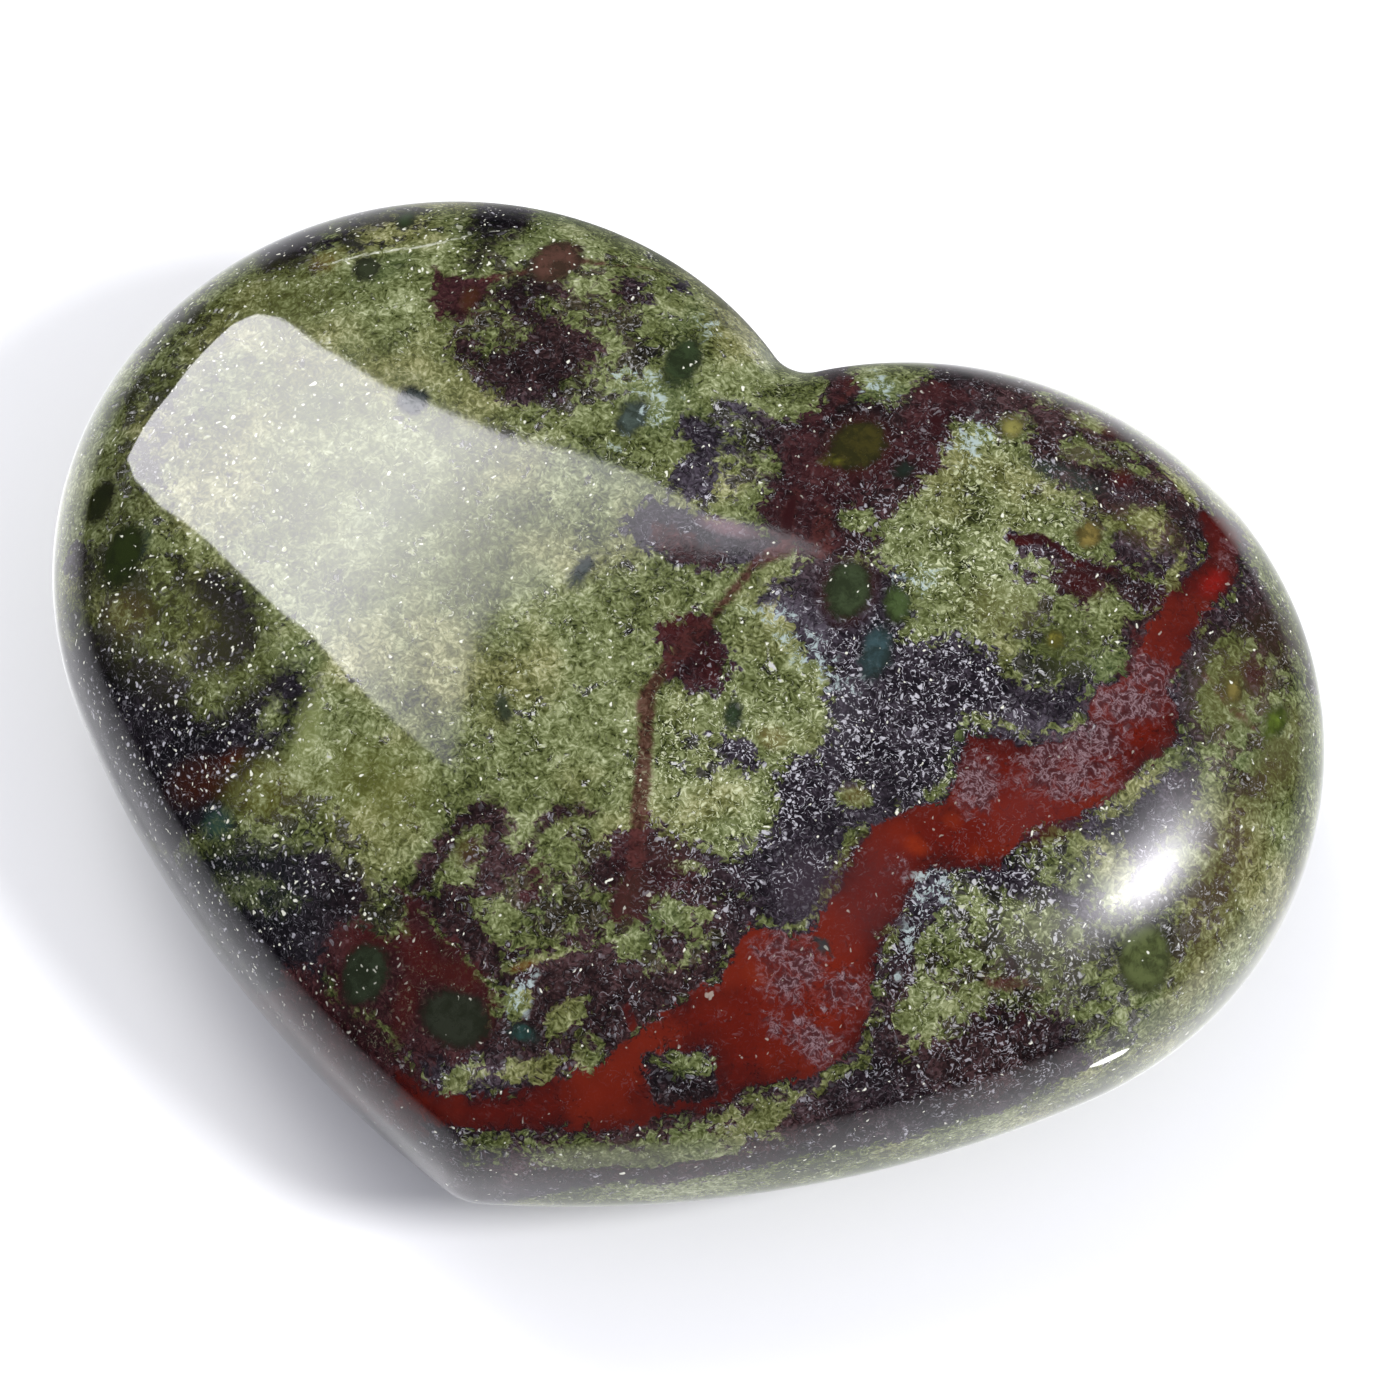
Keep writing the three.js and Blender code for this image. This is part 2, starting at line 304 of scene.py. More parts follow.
# Red jasper: the main vein from the tip to the right lobe, with the dark piece that it flows round.
VEIN_PATCH = (
    (-4.6, -23.5), (-2.8, -24.1), (-1.2, -24.2), (0.2, -23.7), (1.6, -23.0), (3.2, -21.9), (4.9, -21.0),
    (5.8, -19.6), (6.8, -18.0), (7.9, -16.4), (8.6, -15.2), (9.8, -14.3), (9.9, -12.4), (10.1, -11.1),
    (11.6, -10.9), (13.2, -10.3), (13.4, -9.2), (13.7, -7.4), (13.6, -5.4), (13.8, -4.2), (14.8, -3.0),
    (15.8, -1.8), (17.0, -1.0), (17.1, 0.4), (16.9, 1.6), (16.8, 3.0), (18.0, 3.4), (19.6, 3.4),
    (21.0, 4.2), (22.2, 4.8), (23.0, 5.8), (22.2, 6.6), (22.1, 8.2), (22.9, 8.8), (23.5, 9.8),
    (23.5, 11.0), (23.5, 13.0), (23.6, 15.0), (24.3, 16.6), (24.7, 18.2), (24.0, 19.6), (23.4, 20.8),
    (24.6, 21.6), (25.8, 20.4), (26.5, 18.4), (26.4, 16.8), (25.8, 15.2), (25.5, 13.6), (25.5, 11.8),
    (25.1, 10.6), (25.4, 9.6), (26.4, 8.8), (27.0, 7.6), (26.8, 6.2), (25.8, 5.0), (25.2, 3.4),
    (24.3, 2.0), (23.3, 0.6), (21.9, -0.4), (21.4, -1.6), (21.0, -3.2), (19.8, -3.9), (18.6, -4.4),
    (17.6, -4.6), (17.1, -5.6), (17.1, -7.4), (16.7, -8.6), (16.7, -9.8), (17.1, -11.6), (17.5, -13.6),
    (17.0, -15.2), (15.4, -16.7), (13.8, -17.8), (12.4, -18.9), (11.2, -19.9), (9.6, -20.9), (7.9, -21.9),
    (6.0, -23.0), (4.2, -23.7), (2.4, -24.4), (0.4, -25.2), (-2.0, -25.3), (-4.4, -24.7),
)
VEIN_HOLE = (
    (7.2, -19.1), (8.2, -18.4), (9.4, -18.0), (10.4, -17.5), (11.1, -18.2), (11.7, -18.9), (11.0, -19.7),
    (9.9, -20.0), (9.3, -20.7), (8.4, -20.8), (8.2, -19.9),
)
# Thin bright red threads, and thin brownish veins.
RED_THREADS = (
    ((14.8, 14.4, 0.1), (15.4, 14.5, 0.3), (16.4, 15.1, 0.28), (17.3, 14.9, 0.16), (18.4, 14.5, 0.16),
     (19.6, 14.6, 0.18), (20.6, 14.9, 0.16), (21.8, 15.2, 0.1)),
    ((3.5, 12.2, 0.2), (3.6, 11.2, 0.32), (3.9, 10.0, 0.25)),
    ((9.1, 20.6, 0.15), (8.7, 19.6, 0.25), (9.2, 18.4, 0.15)),
    ((5.7, -17.2, 0.2), (6.4, -18.0, 0.25)),
)
THIN_VEINS = (
    ((3.6, 20.6, 0.15), (3.7, 19.4, 0.22), (3.6, 18.2, 0.15)),
    ((3.5, 12.6, 0.2), (3.6, 11.4, 0.4), (3.9, 10.2, 0.3), (4.3, 9.4, 0.4), (3.6, 8.6, 0.35),
     (2.9, 7.6, 0.28), (2.6, 6.4, 0.22), (2.3, 5.2, 0.25), (2.0, 4.0, 0.35), (1.5, 2.8, 0.6),
     (1.0, 1.2, 0.5), (0.7, 0.0, 0.42), (0.5, -1.0, 0.42), (1.0, -2.5, 0.4), (1.6, -4.3, 0.4),
     (2.0, -5.8, 0.4), (2.5, -7.4, 0.4), (3.1, -8.8, 0.4), (3.6, -11.0, 0.5), (3.6, -12.6, 0.4)),
    ((5.2, 12.2, 0.3), (5.6, 11.2, 0.6), (5.9, 10.0, 0.5)),
    ((-16.8, 18.6, 0.12), (-15.4, 19.6, 0.12), (-14.6, 20.2, 0.12)),
    ((-12.8, 21.8, 0.12), (-11.0, 22.3, 0.1), (-9.0, 23.2, 0.1), (-7.4, 23.6, 0.1)),
    ((22.3, -8.9, 0.15), (23.6, -8.3, 0.3), (25.2, -7.8, 0.2)),
    ((27.0, 11.6, 0.1), (28.4, 10.6, 0.14), (30.2, 10.1, 0.1)),
)
# Maroon, where the dark is stained by red.
MAROON_PATCHES = (
    ((-12.0, -20.2), (-8.6, -21.0), (-6.4, -21.6), (-4.4, -22.8), (-2.4, -24.0), (-2.0, -26.4),
     (-6.0, -25.6), (-12.5, -22.8)),
    ((22.9, 12.0), (23.3, 10.6), (22.6, 9.4), (25.4, 9.2), (25.6, 11.6)),
    ((-19.4, 18.2), (-17.6, 18.5), (-16.3, 18.9), (-16.1, 17.0), (-16.9, 15.6), (-18.1, 15.4),
     (-18.8, 16.4)),
    ((-7.8, -15.2), (-6.2, -15.4), (-5.2, -16.6), (-3.6, -17.2), (-2.4, -18.0), (-1.2, -18.4),
     (-0.4, -19.6), (-0.4, -21.4), (-1.6, -22.6), (-4.4, -23.0), (-6.6, -22.0), (-8.8, -21.6),
     (-10.2, -20.4), (-10.0, -18.4), (-8.8, -17.6), (-7.4, -18.0), (-6.6, -17.4), (-7.4, -16.2)),
    ((2.2, 16.5), (3.0, 19.0), (3.2, 21.0), (4.0, 20.2), (4.0, 18.4), (3.4, 17.0), (3.8, 15.0),
     (5.0, 14.4), (6.4, 15.4), (7.2, 17.0), (7.4, 19.0), (7.2, 21.0), (7.5, 22.3), (9.6, 22.3),
     (10.0, 21.2), (9.8, 20.0), (9.3, 18.0), (9.9, 16.6), (8.6, 15.2), (7.0, 14.0), (6.4, 12.4),
     (6.8, 10.4), (5.4, 9.6), (2.6, 9.6), (2.0, 11.0), (2.6, 13.0), (2.0, 15.0)),
    ((1.8, -10.0), (3.0, -8.6), (4.4, -8.6), (6.4, -9.8), (5.6, -10.8), (4.8, -11.8), (4.6, -12.8),
     (3.6, -13.4), (2.8, -12.6), (2.6, -11.2)),
    ((0.9, 4.0), (2.2, 4.4), (3.1, 3.0), (4.0, 1.8), (3.9, 0.7), (2.8, 0.1), (1.0, 0.0), (0.6, 1.6),
     (-0.4, 2.8)),
    ((23.6, -9.8), (24.4, -8.8), (25.2, -8.8), (24.8, -9.8)),
    ((-1.6, -12.6), (-1.2, -11.6), (-0.8, -12.6), (-0.7, -13.6), (-1.3, -13.8)),
    ((-2.6, 8.2), (0.6, 8.0), (2.0, 7.2), (0.4, 6.6), (-1.6, 6.4)),
)
# Clouds of fine crystals in the red, as ovals.
CRYSTAL_CLOUDS = (
    (12.9, -12.2, 1.8, 1.6, 0), (15.7, -12.3, 1.2, 1.1, 20), (14.9, -15.0, 1.6, 0.8, -10),
    (18.2, 0.7, 1.0, 1.5, 0), (22.3, 3.1, 2.6, 1.5, 35), (24.0, 7.9, 1.8, 1.3, 10),
    (23.6, 5.4, 1.4, 1.2, 20), (24.3, 10.0, 1.0, 1.0, 0), (25.6, 18.9, 0.3, 0.6, 0),
    (16.0, -5.4, 0.35, 0.35, 0),
)
# Pieces of green left in the dark, as ovals. They push the dark back by REMAINS_STEEPNESS of their
# depth and by REMAINS_MARGIN.
REMAINS_STEEPNESS, REMAINS_MARGIN = 1.8, 0.2
GREEN_REMAINS = (
    (-14.7, 15.9, 1.4, 0.7, 10), (-11.1, 18.4, 1.7, 0.5, 5), (7.2, 12.3, 0.7, 0.6, 0),
    (5.4, 21.8, 1.2, 1.9, 10), (12.6, 21.0, 0.9, 1.2, 0), (16.2, 21.1, 1.0, 0.8, 0),
    (18.2, 22.6, 0.9, 0.35, 8), (19.0, 21.5, 1.4, 0.25, 5), (15.8, 23.5, 1.1, 0.7, 0),
    (21.6, 22.3, 1.6, 0.4, -30), (21.4, 12.8, 0.9, 0.5, 20), (16.6, 13.5, 0.9, 0.5, 0),
    (21.4, 18.2, 1.5, 1.3, 0), (19.4, 17.0, 0.6, 1.2, -25), (23.4, 16.6, 0.3, 1.0, 5),
    (13.4, 23.8, 0.6, 0.8, 0), (12.6, -2.5, 0.8, 0.6, 0), (6.5, -11.9, 1.3, 0.5, 15),
    (5.8, -9.2, 0.8, 0.35, 10), (4.4, -13.9, 1.1, 0.8, 0), (-2.0, -15.3, 1.3, 0.7, -30),
    (0.6, -14.3, 1.6, 0.5, 30), (1.2, -16.2, 1.8, 0.25, 38), (3.0, -18.8, 0.5, 0.9, -30),
    (0.4, -19.0, 0.6, 0.7, 0), (4.6, -20.3, 0.5, 0.8, -10), (3.0, -21.0, 0.3, 0.7, 0),
    (1.4, -22.0, 1.1, 0.5, 25), (-0.5, -22.8, 1.1, 0.4, 20), (-1.4, -23.6, 0.6, 0.5, 0),
    (9.8, -18.4, 0.8, 0.3, 15), (7.9, -13.4, 0.4, 1.1, -25), (6.2, -14.6, 0.5, 0.5, 0),
    (-17.6, -8.9, 0.4, 0.7, 0), (26.1, 4.2, 0.4, 2.6, -28), (24.4, -1.3, 1.9, 0.8, 15),
    (6.3, -23.9, 3.2, 0.35, 24), (10.8, -21.8, 2.6, 0.4, 28), (-15.0, -17.4, 1.8, 0.6, 0),
)
# Single pebbles of other stone, as ovals with a colour.
PEBBLES = (
    (-13.7, 21.3, 1.15, 1.75, -10, "#4a332b"), (-5.0, 17.8, 0.95, 1.95, 0, "#2b3621"),
    (-6.2, 13.4, 0.75, 1.25, 0, "#3c4640"), (-23.0, 17.3, 0.75, 0.95, 20, "#2b3020"),
    (-22.6, 21.7, 0.5, 0.9, 20, "#324029"), (5.5, 16.5, 1.35, 1.7, -15, "#343014"),
    (4.9, 15.2, 0.7, 0.4, 15, "#52501a"), (8.3, 16.0, 0.55, 0.75, -20, "#1c2420"),
    (8.1, 8.3, 1.15, 1.7, 5, "#333d28"), (10.8, 8.5, 0.75, 1.2, 20, "#3a4828"),
    (10.75, 5.6, 0.85, 1.6, 10, "#2f4144"), (-6.25, -4.6, 0.45, 0.9, 25, "#39422f"),
    (-28.8, -2.6, 1.15, 1.9, 10, "#202810"), (-7.8, -19.9, 1.2, 1.45, 0, "#262d20"),
    (-2.4, -20.7, 1.9, 1.3, -5, "#25281f"), (1.2, -20.3, 0.8, 0.5, 0, "#253f3c"),
    (31.2, 11.2, 0.45, 1.1, -10, "#556625"), (28.6, 11.6, 0.5, 0.9, 15, "#6c6234"),
    (5.1, -0.6, 0.45, 0.8, 15, "#2c3a26"), (-5.3, 4.2, 0.4, 0.9, -10, "#2c3835"),
    (29.4, -3.9, 1.35, 1.6, 0, "#4d5532"), (-31.4, 0.2, 0.8, 1.3, 0, "#1a1e0c"),
    (-17.4, 10.2, 0.9, 0.8, -20, "#27312f"), (19.1, 9.8, 0.6, 0.7, 0, "#6a662b"),
    (18.6, 16.3, 0.7, 0.9, 0, "#6f6233"), (12.6, 20.9, 0.6, 0.8, 0, "#7a7640"),
    (14.0, -10.6, 0.5, 0.35, -20, "#3a393b"),
)
# White crystal crusts, as ovals.
FROST = (
    (-6.4, 15.7, 0.9, 0.4, 0), (-4.9, 14.2, 0.5, 0.5, 40), (-6.2, 11.6, 0.4, 0.6, 0),
    (-4.6, 20.6, 0.4, 0.9, 0), (18.3, -5.4, 0.6, 0.7, -30), (17.9, -8.2, 0.35, 1.0, 0),
    (10.9, 19.2, 0.7, 1.0, 0), (5.3, 20.8, 0.6, 0.7, 0), (7.2, 4.2, 1.4, 0.4, -20),
    (11.4, 10.2, 0.8, 0.5, 0), (0.4, -18.9, 0.4, 0.6, 0),
)
# Fine scratches in the polish, as points (x, y, half the width).
SCRATCHES = (
    ((-28.0, 15.6, 0.05), (-25.0, 17.2, 0.05), (-23.6, 18.2, 0.08), (-21.0, 19.6, 0.06),
     (-19.6, 20.6, 0.06), (-18.2, 21.8, 0.06), (-16.6, 22.7, 0.05)),
)
# Soft stains, as ovals with a colour and a strength.
STAINS = (
    (-24.0, -6.0, 5.5, 3.2, -20, "#454523", 0.4), (-27.3, -5.6, 1.6, 1.2, -20, "#4a3b20", 0.5),
    (-16.4, -12.6, 2.6, 1.8, 0, "#57511f", 0.45), (-11.0, -11.0, 3.5, 2.6, 0, "#62642f", 0.4),
    (-15.4, -9.0, 0.8, 2.2, 10, "#7c8250", 0.5), (-20.2, -13.0, 1.7, 1.2, 15, "#34170b", 0.8),
    (-18.8, -11.6, 0.5, 0.9, -40, "#3b170b", 0.7), (-18.3, -14.7, 0.9, 0.8, 0, "#27403a", 0.6),
    (-28.2, -1.8, 0.7, 1.3, 0, "#1c2f2c", 0.6), (-15.5, -17.0, 4.0, 1.8, 0, "#0d1413", 0.6),
    (-30.5, 4.0, 2.5, 9.0, 5, "#2f3118", 0.55), (-27.0, 14.0, 4.0, 3.0, 30, "#4a4a24", 0.35),
    (-25.4, 17.2, 0.9, 0.8, 30, "#5e4519", 0.5), (-24.6, 19.0, 0.8, 0.9, 0, "#2c2f1a", 0.6),
    (-18.2, 11.4, 1.4, 0.5, 0, "#22301d", 0.6), (-17.0, 17.2, 0.5, 0.9, 0, "#4a2c12", 0.5),
    (-5.4, -18.4, 1.6, 0.9, -40, "#3c1210", 0.8), (-3.2, -18.8, 1.6, 0.8, -10, "#3a1411", 0.8),
    (-5.2, -20.8, 0.7, 1.6, 10, "#3a1310", 0.8), (-2.0, -19.9, 1.0, 0.5, 0, "#24322c", 0.5),
    (5.0, -9.0, 1.6, 1.0, 0, "#30211c", 0.6), (3.9, -11.8, 1.0, 1.6, 0, "#34201b", 0.7),
    (7.5, -1.0, 0.9, 0.7, 0, "#6b5a36", 0.5), (12.6, -2.4, 0.8, 0.6, 0, "#4a3a1c", 0.8),
    (12.0, -7.8, 1.6, 2.0, 0, "#352c33", 0.75), (10.6, 1.5, 1.0, 2.6, 10, "#39353b", 0.5),
    (16.5, -3.8, 0.8, 0.55, 0, "#74250f", 0.8), (17.8, -1.8, 0.6, 0.5, 0, "#6a220f", 0.7),
    (19.6, -2.8, 0.5, 0.4, 0, "#6a220f", 0.7), (25.5, 16.9, 0.6, 1.2, -15, "#741410", 0.8),
    (11.4, -13.2, 0.8, 0.6, 0, "#66210f", 0.7), (15.1, -7.2, 2.0, 3.2, 0, "#4c2423", 0.6),
    (21.5, 0.2, 2.6, 1.6, 30, "#4f2020", 0.55), (24.6, 11.8, 1.2, 1.3, 0, "#3a1213", 0.65),
    (24.5, 14.2, 1.6, 2.2, 0, "#3c1211", 0.5), (24.4, 20.3, 1.3, 0.8, -30, "#360f10", 0.7),
    (19.3, 13.5, 1.4, 0.9, 0, "#330f0e", 0.8), (16.2, 19.2, 2.2, 0.8, 0, "#2f3a33", 0.6),
    (19.6, 19.5, 1.2, 0.8, 0, "#2c2429", 0.6), (19.0, 20.6, 0.7, 0.8, 0, "#401513", 0.7),
    (17.2, 23.5, 0.7, 0.5, 0, "#3f1713", 0.7), (21.2, 18.2, 2.0, 1.3, 0, "#6b632f", 0.2),
    (29.6, 16.0, 1.8, 2.2, 0, "#2c2315", 0.7), (28.4, 11.4, 2.2, 3.2, 0, "#4e4827", 0.5),
    (16.0, 23.4, 1.1, 0.7, 0, "#77724a", 0.25), (16.6, 21.2, 1.0, 0.8, 0, "#6c6b44", 0.25),
    (7.0, -23.6, 4.0, 0.5, 24, "#4c4b3c", 0.6), (31.6, 2.0, 1.6, 6.0, 0, "#55462f", 0.45),
    (32.0, 10.0, 1.4, 3.0, 0, "#554c2d", 0.45), (29.2, 13.0, 0.7, 0.9, 0, "#371916", 0.8),
    (8.1, 8.2, 1.5, 2.0, 5, "#391b15", 0.8), (5.5, 16.4, 1.7, 2.0, -15, "#3a1712", 0.8),
    (24.5, -5.8, 2.8, 2.2, 0, "#5f5d52", 0.4), (30.6, -5.6, 0.9, 0.9, 0, "#26331a", 0.6),
    (29.6, -4.8, 1.2, 0.8, 0, "#2d3d1a", 0.6), (-5.0, -12.6, 0.7, 0.9, 0, "#4a3a20", 0.5),
    (0.0, -17.2, 0.8, 0.25, 38, "#5a3214", 0.7), (16.0, 10.5, 2.0, 1.6, 0, "#5f5a33", 0.35),
    (20.0, 9.8, 1.6, 2.0, 0, "#3d4222", 0.5), (0.8, 9.3, 1.6, 0.5, 5, "#7d6066", 0.6),
    (-18.0, 5.0, 11.0, 7.0, -25, "#6a6d4d", 0.4),
)
# Where pale crystals crowd, as ovals.
SPARKLY = (
    (13.5, 3.0, 5.0, 5.0, 0), (-22.5, -10.5, 5.0, 3.5, -15), (-14.0, -16.5, 4.5, 2.5, 0),
    (21.5, -7.5, 4.5, 6.0, 0), (11.5, 15.0, 6.5, 5.5, 0), (6.0, -5.0, 4.5, 6.0, 0),
    (6.0, 13.0, 2.0, 1.6, 0),
)
# Where the crystals are dots and not threads, as ovals.
DOTTED = (
    (-24.0, -9.0, 9.0, 9.0, 0), (-14.0, -17.5, 9.0, 5.0, -20), (-29.0, 12.0, 5.0, 12.0, 20),
    (-20.0, 20.0, 8.0, 4.0, 20),
)
# Where green and dark mingle, as ovals.
MINGLED = (
    (-9.5, -17.5, 3.5, 2.5, 0), (1.0, -12.5, 5.0, 3.0, 10), (7.5, -14.5, 2.0, 3.0, -30),
    (5.5, -2.5, 2.5, 1.0, 10), (19.0, 9.5, 2.6, 3.0, 0), (19.0, 19.5, 5.0, 3.0, -25),
    (13.0, 22.5, 4.5, 2.0, 0), (24.5, -7.0, 6.0, 6.5, 20), (29.5, 3.0, 3.0, 9.0, 0),
    (29.5, 14.0, 3.0, 4.0, 30), (-25.0, 20.0, 5.0, 2.5, 30), (-12.0, 17.0, 5.5, 5.5, 0),
    (-27.0, -5.0, 5.0, 3.5, -20), (-14.0, -15.5, 5.0, 3.0, 0), (-31.0, 8.0, 2.4, 9.0, 10),
    (0.0, 14.0, 3.0, 3.0, 0),
)

# How the markings run through the stone: below this level they shift sideways with depth.
BED_TOP_Z = GIRDLE_Z + 3
BED_SHIFT = (0.75, -0.5)
# Depths are kept up to this far from an edge, which is all that the material reads.
FIELD_REACH = 3


def outline_depth(at, corners):
    """How deep inside a closed outline each point lies: the distance to its nearest edge, negative
    outside. A point is inside when a line to the right of it crosses the edges an odd number of times."""
    corners = np.array(corners, dtype=np.float32)
    start, edge = corners, np.roll(corners, -1, axis=0) - corners
    nearest = np.full(len(at), np.inf, dtype=np.float32)
    inside = np.zeros(len(at), dtype=bool)
    for (x, y), (run, rise) in zip(start, edge):
        dx, dy = at[:, 0] - x, at[:, 1] - y
        along = np.clip((dx * run + dy * rise) / (run * run + rise * rise), 0, 1)
        nearest = np.minimum(nearest, np.hypot(dx - along * run, dy - along * rise))
        if rise:
            level = (dy >= 0) != (dy >= rise)
            inside ^= level & (dx < dy / rise * run)
    return np.where(inside, nearest, -nearest)


def path_depth(at, path):
    """How deep inside a line of changing width each point lies: half the width there less the distance."""
    depth = np.full(len(at), -np.inf, dtype=np.float32)
    for (x, y, half), (x2, y2, half2) in zip(path, path[1:]):
        run, rise = x2 - x, y2 - y
        dx, dy = at[:, 0] - x, at[:, 1] - y
        along = np.clip((dx * run + dy * rise) / (run * run + rise * rise), 0, 1)
        away = np.hypot(dx - along * run, dy - along * rise)
        depth = np.maximum(depth, half + (half2 - half) * along - away)
    return depth


def oval_depth(at, oval):
    """How deep inside a turned oval each point lies: its smaller half size times 1 less the oval's
    measure, which is 0 in its middle and 1 on its outline."""
    x, y, half_width, half_length, turn = oval[:5]
    c, s = math.cos(math.radians(turn)), math.sin(math.radians(turn))
    dx, dy = at[:, 0] - x, at[:, 1] - y
    measure = np.hypot((dx * c + dy * s) / half_width, (dy * c - dx * s) / half_length)
    return min(half_width, half_length) * (1 - measure)


def deepest(at, shapes, depth):
    """The greatest depth of each point in any of the shapes."""
    return np.max([depth(at, shape) for shape in shapes], axis=0)


def soft_share(depth, fade, least=0):
    """A depth as a share up to 1 that is a half at the edge and changes evenly over fade mm."""
    return np.clip(depth / fade + 0.5, least, 1)


def stains(at):
    """The soft stains' colour and share at each point. Each stain covers the ones before it by its
    strength, which fades from half its oval's reach to a quarter beyond it."""
    colour = np.zeros((len(at), 4))
    bare = np.ones(len(at))
    for stain in STAINS:
        measure = 1 - oval_depth(at, stain) / min(stain[2], stain[3])
        share = stain[6] * np.clip((1.25 - measure) / 0.75, 0, 1)
        colour = colour * (1 - share)[:, None] + np.array(linear(stain[5])) * share[:, None]
        bare = bare * (1 - share)
    return colour / np.maximum(1 - bare, 1e-6)[:, None], 1 - bare


def mineral_fields(points):
    """For each mineral, how deep in it each point of the surface lies, in mm, with the colours of the
    pebble and the stain there.
    Below BED_TOP_Z a point reads the bed at a place shifted by its depth, so the bands slant through."""
    sunk = np.maximum(0, BED_TOP_Z - points[:, 2:3])
    at = (points[:, :2] + sunk * BED_SHIFT).astype(np.float32)
    vein = np.minimum(outline_depth(at, VEIN_PATCH), -outline_depth(at, VEIN_HOLE))
    matrix = deepest(at, MATRIX_PATCHES, outline_depth)
    matrix = np.maximum(matrix, outline_depth(at, VEIN_PATCH) + MATRIX_RIM)
    green = deepest(at, GREEN_REMAINS, oval_depth)
    each_pebble = np.stack([oval_depth(at, pebble) for pebble in PEBBLES])
    colours = np.array([linear(pebble[5]) for pebble in PEBBLES])
    fields = {
        "matrix": np.minimum(matrix, -REMAINS_STEEPNESS * green - REMAINS_MARGIN),
        "seam": deepest(at, MATRIX_SEAMS, path_depth),
        "warm": soft_share(deepest(at, WARM_DARK, oval_depth), 3),
        "maroon": deepest(at, MAROON_PATCHES, outline_depth),
        "vein": vein,
        "thread": deepest(at, RED_THREADS, path_depth),
        "thin_vein": deepest(at, THIN_VEINS, path_depth),
        "cloud": deepest(at, CRYSTAL_CLOUDS, oval_depth),
        "pebble": each_pebble.max(axis=0),
        "frost": deepest(at, FROST, oval_depth),
        "scratch": deepest(at, SCRATCHES, path_depth),
        "sparkle": soft_share(deepest(at, SPARKLY, oval_depth), 1.5, least=-0.5),
        "mingle": soft_share(deepest(at, MINGLED, oval_depth), 1.5),
        "dotted": soft_share(deepest(at, DOTTED, oval_depth), 2),
    }
    stain_colour, fields["stain"] = stains(at)
    return fields, colours[each_pebble.argmax(axis=0)], stain_colour


def add_node(tree, kind, inputs=(), stops=(), **settings):
    """Adds a node with its settings, and with a colour ramp's stops, as pairs of position and colour.
    Its inputs, in order or by name, are values or links, where a node stands for its first output and
    a hex colour turns linear."""
    node = tree.nodes.new("ShaderNode" + kind)
    for name, value in settings.items():
        setattr(node, name, value)
    for name, value in inputs.items() if isinstance(inputs, dict) else enumerate(inputs):
        if isinstance(value, bpy.types.Node):
            value = value.outputs[0]
        if isinstance(value, bpy.types.NodeSocket):
            tree.links.new(value, node.inputs[name])
        else:
            node.inputs[name].default_value = linear(value) if isinstance(value, str) else value
    if stops:
        ramp = node.color_ramp.elements
        while len(ramp) < len(stops):
            ramp.new(0.5)
        for element, (position, colour) in zip(ramp, stops):
            element.position = position
            element.color = linear(colour) if isinstance(colour, str) else colour
    return node


def new_material(name):
    """A material with nothing in its node tree, and the tree."""
    material = bpy.data.materials.new(name)
    material.use_nodes = True
    material.node_tree.nodes.clear()
    return material, material.node_tree


def pattern_scale(size_mm):
    """The scale of a pattern whose blotches or cells are about size_mm across."""
    return 1 / (size_mm * MM)


def weighted_sum(add, start, *terms):
    """The start plus each value times its weight."""
    total = start
    for value, weight in terms:
        total = add("Math", [value, weight, total], operation="MULTIPLY_ADD")
    return total


def greatest(add, first, *others):
    """The greatest of several values."""
    for other in others:
        first = add("Math", [first, other], operation="MAXIMUM")
    return first


def thinned(add, value, *shares):
    """The value times, for each share and weight, 1 less the share times the weight."""
    for share, weight in shares:
        value = add("Math", [value, weighted_sum(add, 1.0, (share, -weight))], operation="MULTIPLY")
    return value


def layered(add, lowest, *layers):
    """Colours laid over each other from the lowest up. Each one covers what is below it by its share
    times its strength."""
    colour = lowest
    for above, share, strength in layers:
        cover = add("Math", [share, strength], operation="MULTIPLY")
        colour = add("Mix", {0: cover, 6: colour, 7: above}, data_type="RGBA").outputs[2]
    return colour


# Every place is stirred by up to a third of STIR, in whirls of STIR_SIZE, both in mm.
STIR, STIR_SIZE = 0.9, 0.8
# Mottlings: the size of their blotches in mm, how many finer sizes they hold, and how strong those are.
MOTTLINGS = {
    "cloudy": (3.4, 6, 0.62), "blotchy": (1.3, 5, 0.72), "grainy": (0.7, 4, 0.7), "ridged": (0.55, 3, 0.6),
    "fine": (0.2, 1, 0.5), "wide_curls": (0.52, 1, 0.5), "tight_curls": (0.38, 1, 0.5),
}
BROAD_TINTS_SIZE = 7.0
# Curled threads are drawn this far to both sides of a mottling's middle value, where the fine mottling
# goes from the first value to the second.
CURL_HALF_WIDTH = 0.036
CURLS = {"wide_curls": (0.5, 0.6), "tight_curls": (0.48, 0.38)}
# Crystals: the cells that hold one each and the largest one in mm, how long they are drawn out, and how
# far they are turned in the plane, in radians. All of them are tilted a little out of it.
# The tiny, more and large cells place the painted glints; round and needles are the stone's pale crystals.
CRYSTALS = {
    "round": (0.34, 0.3, 1.0, 0.0), "needles": (0.27, 0.17, 2.4, 0.7), "tiny": (0.46, 0.2, 1.3, 0.9),
    "more": (0.36, 0.22, 1.2, 0.4), "large": (2.2, 0.3, 1.6, 0.2),
}
CRYSTAL_TILT = (0.3, 0.2)
CRYSTAL_EDGE = 0.04
# Each mineral's edge: its share of the rough edge, and how far it fades to both sides, in mm.
EDGES = {
    "matrix": (1.0, 0.2), "seam": (0.65, 0.25), "maroon": (0.8, 0.3), "thin_vein": (0.25, 0.2),
    "vein": (0.45, 0.12), "thread": (0.15, 0.1), "cloud": (0.9, 0.6), "pebble": (0.3, 0.24),
    "frost": (1.0, 0.4), "scratch": (0.08, 0.05),
}
# Where the crystals are dots, the matrix fades this much further.
MISTY = 0.5
